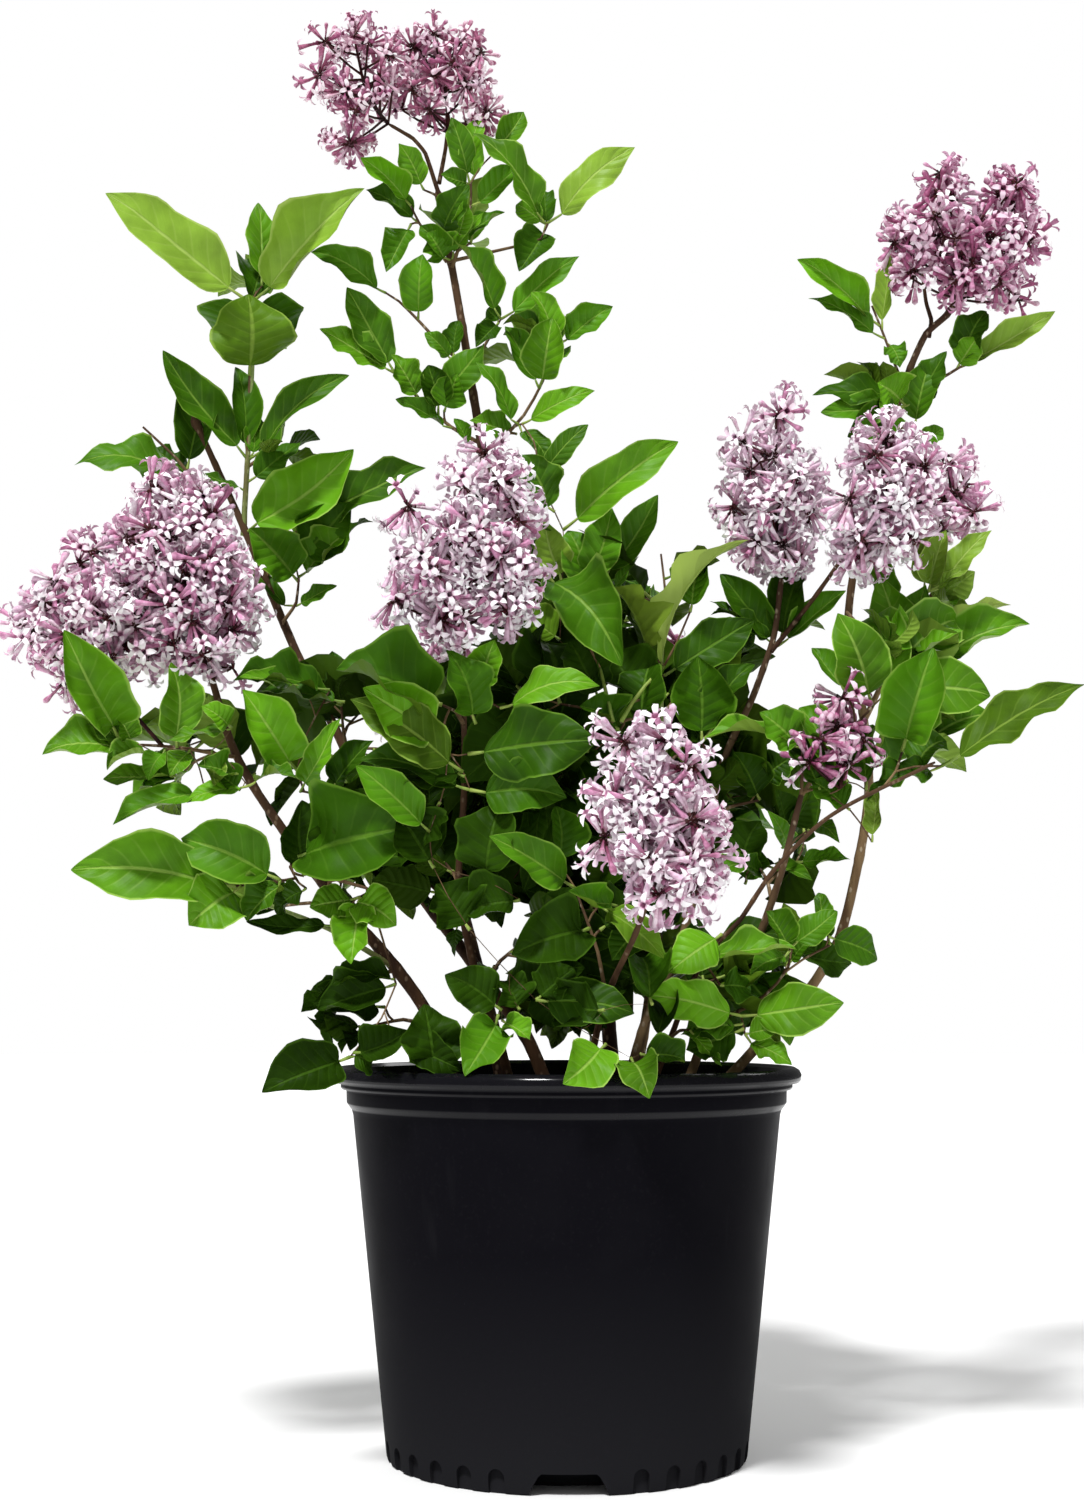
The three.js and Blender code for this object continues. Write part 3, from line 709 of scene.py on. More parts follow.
def limb_mesh(name, foot, tip, path, along):
    """A tapering limb with its root flare, swollen nodes and ridged bark."""
    last = len(path) - 1
    share = along / along[-1]
    radii = foot + (tip - foot) * share
    if path[0][2] == GROUND:
        radii = radii * (1 + (ROOT_FLARE - 1) * np.clip(1 - along / FLARE_LENGTH, 0, 1) ** 2)
    scar = np.abs((along + NODE_STEP / 2) % NODE_STEP - NODE_STEP / 2)
    radii = radii + NODE_SWELL * tip * np.exp(-(scar / NODE_LENGTH) ** 2) * (share > 0.08)
    remember_wood(path[::2], radii[::2])
    if name == BUDDED_LIMB:
        radii = radii + BUD_SWELL * np.exp(
            -((along[-1] - along - BUD_BELOW_TIP) / BUD_LENGTH) ** 2)
        radii[-1] *= 0.5
    pattern = as_arrays(tube_shape(LIMB_SIDES, len(path)))
    points = sweep(pattern, path[None], radii[None])[0]
    ring = ring_numbers(pattern)
    centre = path[ring]
    ridges = [bark_ridge(*there, foot * 9) for there in zip(points, centre, along[ring])]
    swell = 1 + RIDGE_HEIGHT * np.array(ridges)[:, None]
    swell[ring == last] *= 0.55     # the tip is rounded off
    swell[ring == 0] = 1.0
    points = centre + (points - centre) * swell
    return joined_mesh(name, pattern, points[None], {"age": share[ring] ** 1.3})


for name, (foot, tip, kind, points) in (LIMBS | FORKS).items():
    path, along = smooth_path(points, LIMB_STEP)
    limb = new_object(name + "_bark", limb_mesh(name, foot, tip, path, along), BARK_FINISHES[kind])
    stands_for = [name] if name in LIMBS else []
    part_of_bush(limb, "green_bark" if kind == "green" else "bark", *stands_for)


# ------------------------------------------------------------------------------------------------
# Twigs
# Thin twigs carry the leaves. Each grows from the nearest wood that already points its way, bends
# towards its own place, and is tan at its foot and dark brown at its end.
# ------------------------------------------------------------------------------------------------

TWIG_FOOT = 1.4             # thickest radius of a twig, at its foot
TWIG_TIP = 0.7
TWIG_THIN = 0.95            # radius at the foot of the shortest twigs
TWIG_GROWTH = 0.012         # and how much it grows with a twig's length
TWIG_SHARE = 0.8            # thickest foot of a twig, against the wood it grows from
TWIG_RINGS = 8
TWIG_SIDES = 6
TURN_COST = 1.15            # how much a twig dislikes to turn back from the wood's own way
THIN_COST = 2.0             # how much it dislikes to grow from thin wood
JOIN_GAP = 4.0              # a twig that starts this far from any wood is led back to it
VIEW_WIDTH = 1084
VIEW_HEIGHT = 1500

# The twigs that show against the sky: places across and down in the view, and their depth.
SHOWN_TWIGS = [
    [(470, 372, 48), (489, 338, 46), (501, 319, 44)],
    [(478, 442, 46), (455, 430, 46), (440, 418, 46), (418, 398, 45), (395, 373, 44)],
    [(466, 364, 48), (446, 350, 46), (418, 320, 44), (400, 302, 43), (386, 293, 42)],
    [(447, 262, 50), (432, 243, 48), (418, 221, 46), (411, 206, 45)],
    [(452, 268, 50), (462, 238, 46), (471, 206, 44), (471, 183, 42)],
    [(480, 452, 46), (498, 440, 42), (518, 424, 38), (540, 388, 34), (556, 345, 32)],
    [(447, 262, 50), (500, 250, 44), (540, 240, 42), (548, 224, 40)],
    [(247, 470, 44), (249, 400, 43), (251, 340, 42), (251, 303, 42)],
    [(245, 532, 44), (246, 500, 44), (248, 460, 44)],
    [(232, 757, -54), (190, 749, -60), (150, 745, -66), (126, 745, -72)],
    [(286, 862, -62), (300, 877, -66), (262, 884, -74), (236, 886, -80)],
    [(330, 878, -40), (352, 884, -52), (372, 890, -60), (356, 899, -66)],
    [(922, 388, 38), (944, 377, 36), (958, 368, 34), (984, 358, 32)],
    [(907, 394, 36), (894, 362, 34), (881, 328, 34), (872, 306, 36)],
    [(738, 1012, -52), (764, 996, -62), (787, 972, -70), (792, 948, -72)],
    [(846, 612, 20), (872, 640, -10), (900, 662, -20), (914, 640, -16), (924, 590, -8)],
    [(283, 622, 38), (296, 604, 30), (299, 578, 22)],
    [(350, 800, -30), (322, 796, -48), (300, 790, -60), (297, 770, -64)],
    [(196, 482, 40), (176, 458, 36), (143, 427, 34)],
]

FOCAL = LENS / SENSOR * VIEW_HEIGHT
VIEWER = np.array(EYE)
VIEW_AHEAD = np.array((0, cos(PITCH), sin(PITCH)))
VIEW_ABOVE = np.array((0, -sin(PITCH), cos(PITCH)))


def seen(across, down, depth):
    """The place in mm that the camera sees at this point of its view, `depth` behind the axis."""
    ray = VIEW_AHEAD + VIEW_ABOVE * (VIEW_HEIGHT / 2 - down) / FOCAL
    ray[0] = (across - VIEW_WIDTH / 2) / FOCAL
    return VIEWER + ray * (depth - VIEWER[1]) / ray[1]


def branch_point(target):
    """Which piece of wood a twig to this place grows from: a near one that points towards it."""
    gap = target - wood["place"]
    distance = np.linalg.norm(gap, axis=1) + 1e-6
    turn = 1 - np.einsum("ij,ij->i", gap, wood["way"]) / distance
    return int(np.argmin(distance * (1 + TURN_COST * turn) + THIN_COST / wood["radius"]))


twig_paths = []
twig_radii = []


def keep_twig(path, foot, tip):
    """Keeps a twig's path, drawn with a fixed count of rings, and adds it to the wood."""
    path, along = smooth_path(path, 1.5)
    path = evenly(path, along, np.linspace(0, along[-1], TWIG_RINGS))
    twig_paths.append(path)
    twig_radii.append(np.linspace(foot, tip, TWIG_RINGS))
    fine, _ = smooth_path(path, 3.0)
    remember_wood(fine[1:], np.linspace(foot, tip, len(fine))[1:])
    return path


def grow_twig(target):
    """Grows a twig to this place and gives its path."""
    source = branch_point(target)
    start = wood["place"][source]
    span = np.linalg.norm(target - start)
    way = unit(wood["way"][source] * 0.4 + unit(target - start) * 0.8)
    bend = start + way * span * 0.42
    foot = min(TWIG_FOOT, TWIG_SHARE * wood["radius"][source], TWIG_THIN + span * TWIG_GROWTH)
    return keep_twig(np.array([start, bend * 0.6 + (start + target) * 0.2, target]), foot,
                     min(TWIG_TIP, foot))


for places in SHOWN_TWIGS:
    path = np.array([seen(*place) for place in places])
    source = branch_point(path[0])
    if np.linalg.norm(wood["place"][source] - path[0]) > JOIN_GAP:
        path = np.vstack([wood["place"][source], path])
    keep_twig(path, min(TWIG_FOOT, TWIG_SHARE * wood["radius"][source]), TWIG_TIP)


# ------------------------------------------------------------------------------------------------
# Leaves
# Pointed oval leaves stand in opposite pairs on short yellow-green stalks, each pair a quarter
# turn from the last. They are folded along the midrib, wavy at the edge and paler underneath.
# ------------------------------------------------------------------------------------------------

STALK_SHARE = 0.13          # of the way from the twig to the leaf's tip
STALK_RINGS = 4
STALK_SIDES = 5
STALK_RADII = (0.95, 0.62)  # of a stalk at the twig and at the blade
LONG_STALK_RADII = (1.3, 1.0)
LEAF_REACH = 5.0            # a leaf's stalk reaches wood that is no farther away than this
LEAF_SEED = 21
WIDEST = 0.42               # share of the blade's length at which it is widest
VEIN_PAIRS = 7
VEIN_SLANT = 0.22
UNFOLDED = 1.08             # a blade's width laid flat, in shares of its width as it shows
SHORTEST_LEAF = 20.0
MASS_REACH = 1.12           # how far leaves reach, in shares of half the size of their mass
SKY_MARGIN = 6.0            # round each gap that shows the sky

# The leaves that show best, by spray: the depth of the twig, then for each leaf the foot of its
# stalk and its tip, across and down in the view, how far the tip reaches back, its width in mm,
# how far its face leans up from facing the viewer, and its colour, with the light and shade on it
# painted in.
SHOWN_LEAVES = {
    "top": (47, [
        (424, 190, 399, 143, -10, 17, 10, "bright"), (412, 206, 361, 157, -14, 19, 20, "bright"),
        (419, 222, 366, 189, 4, 18, 40, "deep"), (411, 224, 386, 272, -12, 22, 20, "green"),
        (440, 236, 468, 185, -18, 22, 15, "deep"), (458, 238, 464, 200, -20, 15, 10, "bright"),
        (474, 208, 521, 164, -6, 19, 25, "green"), (470, 184, 441, 174, -8, 14, 30, "green"),
        (470, 182, 451, 117, -6, 17, 10, "green"), (473, 184, 482, 116, -2, 16, 15, "bright"),
        (495, 152, 524, 111, 4, 19, 10, "bright"), (546, 224, 474, 132, -18, 24, 35, "bright"),
        (551, 224, 635, 147, -12, 26, 30, "pale"), (547, 226, 545, 190, 10, 14, 10, "deep"),
        (544, 224, 516, 204, 4, 16, 20, "bright"), (547, 228, 519, 271, -14, 26, 15, "deep"),
        (448, 262, 420, 226, -6, 16, 20, "green"), (449, 258, 484, 212, -8, 13, 50, "bright"),
        (446, 262, 428, 232, -10, 24, 25, "green"), (462, 238, 505, 212, -4, 12, 40, "green")]),
    "upper_stem": (43, [
        (504, 320, 578, 254, -10, 21, 30, "green"), (500, 318, 456, 242, -8, 19, 35, "green"),
        (499, 322, 476, 346, -12, 15, 20, "deep"), (500, 322, 487, 308, 6, 12, 10, "deep"),
        (386, 294, 312, 250, -12, 20, 30, "green"), (418, 320, 422, 254, -10, 22, 15, "green"),
        (452, 360, 425, 332, -4, 13, 20, "green"), (453, 358, 459, 319, 4, 13, 20, "deep"),
        (395, 374, 347, 287, -6, 24, 15, "green"), (395, 374, 320, 328, -14, 22, 40, "bright"),
        (420, 400, 392, 354, -8, 18, 15, "bright"), (450, 430, 396, 398, -6, 15, 50, "deep"),
        (437, 400, 484, 344, -12, 24, 25, "green"), (440, 412, 428, 365, -4, 22, 10, "deep"),
        (444, 412, 457, 374, -10, 22, 10, "green"), (470, 446, 454, 418, 0, 9, 20, "green"),
        (517, 434, 470, 420, -10, 18, 25, "bright")]),
    "beside_stem": (33, [
        (556, 345, 532, 291, -4, 19, 20, "bright"), (560, 345, 612, 305, -8, 20, 30, "green"),
        (545, 336, 503, 323, 2, 14, 60, "deep"), (540, 388, 505, 325, 6, 20, 15, "green"),
        (541, 388, 552, 318, -14, 28, 10, "bright"), (522, 424, 594, 389, -10, 18, 35, "bright"),
        (516, 428, 477, 361, -8, 15, 45, "green"), (518, 428, 548, 462, -6, 15, 40, "green")]),
    "whorl": (43, [
        (246, 302, 108, 189, -34, 40, 32, "pale"), (256, 302, 363, 187, -26, 36, 25, "pale"),
        (262, 286, 260, 201, 12, 22, 30, "bright"), (250, 376, 248, 294, -14, 50, 6, "olive"),
        (250, 306, 216, 338, 26, 34, 20, "green"), (252, 306, 291, 335, 26, 34, 20, "deep"),
        (250, 304, 262, 260, 20, 26, 10, "deep"), (248, 460, 163, 350, -16, 27, 20, "green"),
        (247, 455, 236, 366, 8, 18, 15, "deep"), (252, 460, 348, 374, -14, 22, 38, "green"),
        (253, 458, 258, 415, 8, 14, 10, "green"), (249, 482, 302, 441, 6, 22, 30, "deep"),
        (243, 534, 353, 449, -30, 37, 18, "bright"), (304, 524, 424, 466, -20, 30, 28, "green"),
        (300, 560, 350, 502, -16, 33, 10, "deep"), (299, 582, 250, 528, -22, 35, 12, "green"),
        (300, 578, 350, 530, -14, 24, 40, "bright"), (296, 606, 336, 585, -10, 12, 30, "green"),
        (291, 612, 239, 562, 4, 12, 40, "deep"), (187, 470, 203, 391, 30, 30, 10, "deep"),
        (194, 484, 75, 462, -24, 30, 38, "green"), (246, 490, 203, 473, -10, 12, 65, "green"),
        (190, 476, 150, 446, 6, 20, 40, "deep")]),
    "left": (-80, [
        (120, 740, 64, 630, -54, 33, 24, "bright"), (124, 746, 42, 752, -10, 29, 48, "bright"),
        (122, 744, 88, 716, 6, 20, 30, "deep"), (177, 748, 171, 662, -14, 30, 10, "bright"),
        (132, 742, 118, 716, -6, 15, 20, "bright"), (150, 750, 107, 770, -8, 16, 60, "bright"),
        (165, 750, 148, 780, -10, 13, 30, "green"), (190, 750, 170, 775, -12, 15, 20, "bright"),
        (212, 750, 214, 786, -10, 14, 10, "pale"), (205, 790, 112, 823, -12, 23, 55, "green"),
        (248, 786, 186, 800, -8, 16, 55, "bright"), (236, 775, 198, 765, -12, 16, 40, "green"),
        (232, 728, 202, 706, -10, 17, 20, "bright"), (236, 728, 166, 741, -12, 15, 70, "bright"),
        (240, 790, 212, 772, 4, 18, 30, "deep"), (250, 782, 296, 778, -6, 14, 70, "green")]),
    "heart_left": (-66, [
        (330, 690, 234, 680, -14, 23, 45, "deep"), (300, 686, 240, 676, -22, 13, 40, "bright"),
        (345, 702, 262, 688, -6, 20, 55, "deep"), (290, 858, 418, 826, -30, 52, 24, "deep"),
        (304, 876, 302, 800, -4, 34, 12, "shade"), (296, 772, 243, 690, -26, 29, 10, "bright"),
        (300, 792, 338, 719, -20, 15, 20, "bright"), (330, 790, 372, 740, -10, 18, 30, "deep")]),
    "heart_front": (-100, [
        (442, 705, 337, 668, -14, 42, 28, "deep"), (442, 735, 363, 688, -30, 30, 10, "bright"),
        (463, 772, 352, 698, -24, 31, 20, "olive"), (430, 832, 357, 765, -16, 22, 20, "green"),
        (470, 790, 360, 756, -4, 25, 38, "deep"), (470, 772, 378, 778, 6, 30, 45, "shade"),
        (478, 694, 494, 640, -10, 21, 15, "bright"), (476, 724, 448, 650, -16, 27, 20, "deep"),
        (500, 708, 598, 683, -16, 23, 38, "bright"),
        (468, 754, 594, 739, -24, 40, 14, "deep"), (474, 792, 566, 797, -10, 33, 10, "deep"),
        (575, 888, 490, 836, -24, 23, 12, "green"), (434, 868, 396, 808, 0, 34, 20, "shade"),
        (484, 880, 500, 806, 4, 38, 20, "shade"), (440, 800, 418, 850, 2, 30, 25, "shade"),
        (560, 866, 556, 806, 0, 26, 28, "deep"), (600, 905, 664, 958, -22, 21, 26, "olive"),
        (617, 906, 570, 890, -24, 17, 33, "green"), (592, 928, 512, 954, -20, 37, 12, "shade"),
        (470, 930, 436, 884, 0, 34, 20, "shade"), (520, 900, 468, 912, 6, 32, 30, "shade"),
        (600, 930, 640, 900, 8, 32, 20, "shade"), (644, 922, 612, 960, -6, 20, 20, "deep"),
        (536, 1000, 634, 1012, -14, 28, 24, "deep"),
        (502, 1010, 446, 974, -10, 30, 20, "shade"), (536, 1000, 574, 968, 6, 28, 25, "shade"),
        (436, 1078, 424, 1004, -4, 33, 15, "shade"), (520, 1010, 500, 980, 6, 24, 30, "shade")]),
    "low_left": (-78, [
        (234, 886, 71, 869, -24, 40, 12, "bright"), (280, 880, 181, 838, -6, 36, 15, "green"),
        (240, 888, 189, 925, -18, 36, 8, "bright"), (284, 882, 246, 920, -10, 21, 35, "green"),
        (306, 888, 276, 914, 4, 18, 40, "shade"), (336, 926, 246, 920, 0, 15, 45, "shade"),
        (360, 897, 351, 964, -16, 27, 12, "bright"), (352, 899, 396, 925, -14, 28, 15, "bright"),
        (356, 899, 310, 906, -10, 22, 30, "bright"), (396, 984, 318, 1010, 10, 27, 22, "shade"),
        (400, 978, 330, 985, 4, 18, 50, "shade")]),
    "left_rim": (-96, [
        (350, 1057, 262, 1092, -20, 31, 12, "shade"), (354, 1056, 408, 1030, -6, 25, 18, "shade"),
        (404, 1046, 462, 1070, -10, 24, 20, "shade"), (352, 1055, 372, 1064, 8, 20, 20, "shade"),
        (500, 1018, 466, 1073, -34, 28, 10, "green"), (502, 1020, 530, 1040, -14, 16, 20, "bright")]),
    "centre_high": (-4, [
        (540, 476, 588, 424, -6, 16, 30, "green"), (563, 530, 677, 440, -20, 31, 22, "bright"),
        (552, 515, 517, 454, -10, 26, 18, "green"), (562, 582, 545, 520, -16, 24, 8, "pale"),
        (586, 586, 612, 508, -10, 24, 10, "green"), (603, 580, 657, 494, -12, 22, 24, "green"),
        (612, 592, 639, 556, -8, 9, 40, "green"), (540, 566, 516, 516, -14, 26, 14, "green"),
        (588, 592, 568, 530, 0, 30, 14, "green"), (560, 640, 520, 610, -6, 24, 30, "olive")]),
    "centre": (-44, [
        (544, 571, 622, 664, -30, 40, 16, "green"), (652, 658, 612, 584, -18, 38, 112, "olive"),
        (690, 612, 704, 557, 4, 24, 20, "green"), (650, 682, 742, 536, -16, 25, 114, "pale"),
        (664, 676, 754, 619, 0, 27, 18, "deep"), (702, 742, 698, 656, -10, 38, 4, "deep"),
        (706, 738, 753, 663, -4, 22, 32, "deep"), (560, 704, 545, 640, 20, 50, 15, "shade"),
        (640, 720, 652, 660, 6, 32, 20, "deep"), (640, 700, 610, 650, 10, 36, 20, "shade"),
        (600, 700, 570, 640, 0, 34, 20, "shade"), (620, 730, 580, 706, -20, 24, 30, "deep")]),
    "right_stems": (-20, [
        (778, 646, 721, 573, 0, 21, 22, "deep"), (780, 642, 800, 572, 8, 26, 15, "shade"),
        (780, 646, 845, 589, -8, 16, 35, "green"), (775, 645, 711, 600, -6, 14, 45, "deep"),
        (760, 800, 735, 752, -10, 24, 25, "deep"), (756, 862, 712, 875, -12, 18, 40, "green"),
        (796, 862, 850, 858, -12, 15, 45, "green"), (760, 780, 790, 758, -6, 22, 25, "deep"),
        (740, 870, 760, 820, 0, 26, 20, "shade"), (745, 884, 760, 850, 4, 22, 20, "green"),
        (768, 866, 812, 880, -30, 12, 35, "green"), (764, 874, 734, 860, -30, 13, 30, "deep"),
        (788, 850, 770, 812, -34, 14, 25, "green"), (808, 830, 838, 840, -40, 12, 40, "green")]),
    "top_right": (35, [
        (878, 326, 799, 257, -8, 20, 28, "bright"), (881, 330, 890, 253, -6, 15, 28, "pale"),
        (882, 338, 810, 296, -8, 15, 45, "green"), (889, 342, 900, 367, -6, 14, 15, "green"),
        (905, 396, 813, 393, -8, 23, 42, "deep"), (906, 406, 821, 412, -14, 23, 25, "green"),
        (903, 402, 878, 383, -14, 28, 10, "bright"), (905, 412, 848, 436, -8, 25, 20, "deep"),
        (906, 412, 946, 350, -10, 21, 18, "deep"), (914, 428, 930, 360, -4, 22, 20, "green"),
        (958, 366, 986, 310, -4, 21, 20, "deep"), (957, 368, 978, 336, -10, 18, 15, "bright"),
        (960, 369, 1055, 310, -10, 21, 33, "pale"), (922, 446, 943, 428, -4, 14, 15, "green")]),
    "right_high": (-4, [
        (924, 590, 929, 532, -6, 15, 15, "pale"), (928, 592, 946, 530, -12, 17, 12, "pale"),
        (936, 592, 991, 529, -8, 16, 25, "pale"), (934, 592, 967, 570, -6, 8, 40, "pale"),
        (903, 664, 880, 577, -18, 29, 10, "bright"), (915, 657, 926, 585, -8, 21, 28, "green"),
        (935, 642, 1010, 603, 0, 15, 118, "pale"), (920, 672, 1030, 624, -12, 27, 32, "bright"),
        (890, 610, 868, 560, 6, 18, 20, "green")]),
    "right": (-66, [
        (873, 706, 839, 614, -20, 35, 10, "bright"), (846, 692, 812, 646, 14, 17, 30, "green"),
        (902, 752, 933, 648, -22, 37, 10, "green"), (942, 766, 1084, 682, -22, 27, 34, "olive"),
        (940, 767, 866, 799, -6, 23, 40, "deep"), (912, 770, 946, 740, 6, 26, 40, "green"),
        (802, 748, 760, 712, -4, 25, 20, "green"), (800, 744, 700, 742, 0, 15, 70, "bright"),
        (820, 790, 796, 740, 10, 26, 20, "deep"), (850, 810, 812, 780, 0, 20, 30, "deep"),
        (872, 842, 876, 786, 6, 12, 30, "pale"), (848, 782, 800, 706, 16, 26, 20, "green"),
        (866, 790, 872, 724, 14, 24, 30, "deep")]),
    "low_right": (-80, [
        (742, 1016, 646, 995, -26, 25, 12, "bright"), (745, 1017, 842, 1002, -26, 28, 10, "bright"),
        (704, 956, 796, 946, -16, 18, 48, "bright"), (722, 934, 669, 972, -12, 26, 18, "bright"),
        (790, 948, 766, 911, 0, 19, 20, "green"), (792, 946, 837, 910, 0, 18, 25, "green"),
        (830, 945, 820, 890, 30, 12, 20, "green"), (828, 936, 880, 959, 20, 21, 18, "deep"),
        (790, 954, 750, 975, 0, 16, 25, "green"), (745, 1034, 777, 1030, -6, 14, 20, "bright"),
        (745, 1040, 792, 1064, -10, 14, 35, "bright"), (742, 1030, 686, 1050, 0, 26, 20, "deep"),
        (690, 1030, 722, 1066, -12, 10, 45, "bright"), (742, 1024, 680, 1034, 4, 20, 30, "green"),
        (720, 985, 752, 990, 8, 20, 30, "deep")]),
    "front_rim": (-122, [
        (606, 1044, 563, 1084, -26, 28, 10, "bright"), (631, 1058, 649, 1096, -26, 26, 8, "bright"),
        (640, 1054, 686, 1060, 8, 17, 28, "deep"), (604, 1010, 560, 1014, 30, 30, 25, "shade"),
        (652, 1004, 636, 958, 60, 24, 20, "deep"), (656, 1040, 672, 996, 60, 20, 20, "shade")]),
}

# The masses of leaves: middle and size in mm, how many sprays fill them, and how much painted light
# makes their leaves lighter than others as far out, and below 0 how much painted shade makes them
# darker.
LEAF_MASSES = {
    "leaves_top": ((-64, 64, 772), (108, 80, 100), 1, 0.0),
    "leaves_top_left": ((-98, 56, 680), (80, 60, 80), 1, 0.0),
    "leaves_top_right": ((-22, 60, 684), (80, 60, 76), 1, 0.0),
    "leaves_whorl": ((-203, 60, 724), (60, 60, 60), 1, -0.1),
    "leaves_upper_left": ((-204, 62, 624), (90, 70, 86), 1, -0.1),
    "leaves_left_centre": ((-155, 60, 545), (86, 80, 112), 2, -0.1),
    "leaves_left": ((-222, -24, 412), (120, 90, 80), 4, -0.1),
    "leaves_low_left": ((-180, -26, 334), (146, 80, 58), 2, -0.2),
    "leaves_centre_high": ((44, 24, 540), (96, 96, 112), 4, 0.3),
    "leaves_heart_left": ((-136, 22, 420), (116, 130, 140), 12, -0.3),
    "leaves_heart": ((-30, -14, 408), (128, 120, 160), 20, -0.35),
    "leaves_heart_right": ((80, 24, 452), (112, 130, 128), 13, -0.05),
    "leaves_under_blooms": ((126, 4, 496), (66, 56, 42), 2, 0.0),
    "leaves_right": ((203, -34, 446), (104, 90, 108), 4, 0.15),
    "leaves_right_high": ((226, 24, 516), (66, 60, 62), 1, 0.1),
    "leaves_below_top_bloom": ((204, 46, 648), (84, 60, 54), 1, -0.2),
    "leaves_beside_top_bloom": ((190, 54, 714), (50, 46, 60), 0, 0.0),
    "leaves_outside_top_bloom": ((266, 48, 692), (56, 50, 44), 0, 0.0),
    "leaves_low_right": ((112, -30, 278), (104, 100, 86), 5, -0.2),
    "leaves_low_centre": ((-8, -30, 292), (126, 80, 90), 8, -0.75),
    "leaves_low_left_rim": ((-104, -40, 262), (92, 80, 60), 4, -0.6),
    "leaves_mid_right": ((136, 10, 368), (88, 100, 84), 4, -0.3),
    "leaves_rear_left": ((-100, 128, 408), (168, 140, 170), 15, -0.1),
    "leaves_rear_right": ((84, 134, 400), (158, 140, 164), 14, -0.1),
    "leaves_rear_low": ((0, 104, 284), (220, 116, 92), 11, -0.1),
    "leaves_rear_high": ((0, 104, 512), (136, 110, 110), 9, -0.1),
}
# Between the masses the heart of the bush is filled with leaves whose colour is painted deep shade.
SHADED_FILL = [((-66, -4, 336), (110, 90, 84), 8, -0.7), ((24, -4, 336), (100, 90, 84), 7, -0.7),
               ((-120, 0, 372), (90, 80, 80), 4, -0.5), ((94, 0, 392), (80, 90, 80), 3, -0.5)]
# Where the sky shows through: places across and down in the view, and radii there.
OPEN_SKY = [
    (434, 895, 8), (430, 953, 17), (403, 957, 13), (489, 950, 18), (508, 969, 13), (387, 1016, 20),
    (372, 969, 12), (465, 1035, 10), (524, 1047, 14), (516, 930, 7), (629, 1008, 12),
    (641, 1043, 11), (617, 1051, 9), (711, 980, 9), (457, 758, 6), (383, 743, 12), (368, 723, 13),
    (578, 715, 6), (233, 767, 17), (289, 767, 10), (341, 752, 18), (317, 785, 14), (228, 823, 26),
    (308, 893, 14), (364, 950, 19), (294, 959, 26), (774, 690, 24), (797, 663, 15), (759, 839, 11),
    (728, 908, 11), (809, 839, 14), (828, 866, 18), (797, 885, 10), (816, 881, 12), (805, 977, 14),
    (860, 870, 34), (690, 525, 34), (654, 548, 24), (762, 626, 14), (335, 615, 27), (292, 640, 20),
    (330, 560, 17), (644, 476, 30), (470, 300, 24), (504, 222, 18), (380, 320, 20), (600, 350, 30),
    (640, 400, 40), (150, 300, 40), (190, 330, 26), (300, 300, 24), (310, 400, 24), (780, 740, 10),
    (900, 840, 36), (990, 640, 24), (840, 440, 30), (1010, 400, 40), (850, 340, 14), (250, 950, 30),
    (180, 970, 40),
]
CROWN_MIDDLE = np.array((-5.0, 15.0, 440.0))
CROWN_REACH = np.array((235.0, 165.0, 330.0))
# Long pale leaf stalks that show: places across and down in the view, and their depth.
SHOWN_STALKS = [
    [(621, 722, -58), (632, 703, -54), (645, 686, -50), (664, 666, -44)],
    [(613, 722, -58), (608, 700, -56), (604, 684, -54), (600, 668, -50)],
]
# The pairs of leaves on a twig in a mass: which of its rings a pair stands on, how far it spreads
# from the twig's way, and its shortest and longest length in mm.
SPRAY_PAIRS = [(-4, 1.05, 52, 78), (-1, 0.8, 44, 66), (-1, 0.4, 22, 36)]
# How far out from the middle of the crown, at 0, to its outside, at 1, leaves have each colour.
# These colours paint shade deep in the crown; those farther out are bright, painted as lit.
PAINTED_SHADE_LIMITS = {"shade": 0.62, "deep": 0.8, "green": 1.02}
# How wavy and curled leaves are: those set one by one, and those that fill the masses.
UNREST = {"near": 1.0, "fill": 0.6}


def leaf_pattern(columns, rows):
    """A flat leaf, x from -1 to 1 across and y from 0 to 1 along, drawn to a point at each end."""
    shape = bmesh.new()
    bmesh.ops.create_grid(shape, x_segments=columns, y_segments=rows, size=1.0)
    for vertex in shape.verts:
        vertex.co.y = (1 - cos(pi * (vertex.co.y + 1) / 2)) / 2
    for end in (0.0, 1.0):
        row = [vertex for vertex in shape.verts if abs(vertex.co.y - end) < 1e-5]
        bmesh.ops.pointmerge(shape, verts=row, merge_co=(0, end, 0))
    return as_arrays(shape)


LEAF_PATTERNS = {"near": leaf_pattern(8, 20), "fill": leaf_pattern(6, 12)}

luck = np.random.default_rng(LEAF_SEED)
leaves = []                 # for each leaf: foot, tip, face, width, colour and kind
stalk_paths = []
stalk_radii = []


def bent(start, middle, end, count):
    """A path of `count` places from start to end that bends towards the middle."""
    t = np.linspace(0, 1, count)[:, None]
    return start * (1 - t) ** 2 + middle * 2 * t * (1 - t) + end * t ** 2


def nearest_wood(place):
    """The place on the wood that is nearest to this one, and its distance."""
    away = np.linalg.norm(wood["place"] - place, axis=1)
    return wood["place"][np.argmin(away)], away.min()


def across_from(axis, toward):
    """The direction across `axis` that is nearest to `toward`."""
    return unit(toward - axis * np.dot(axis, toward))


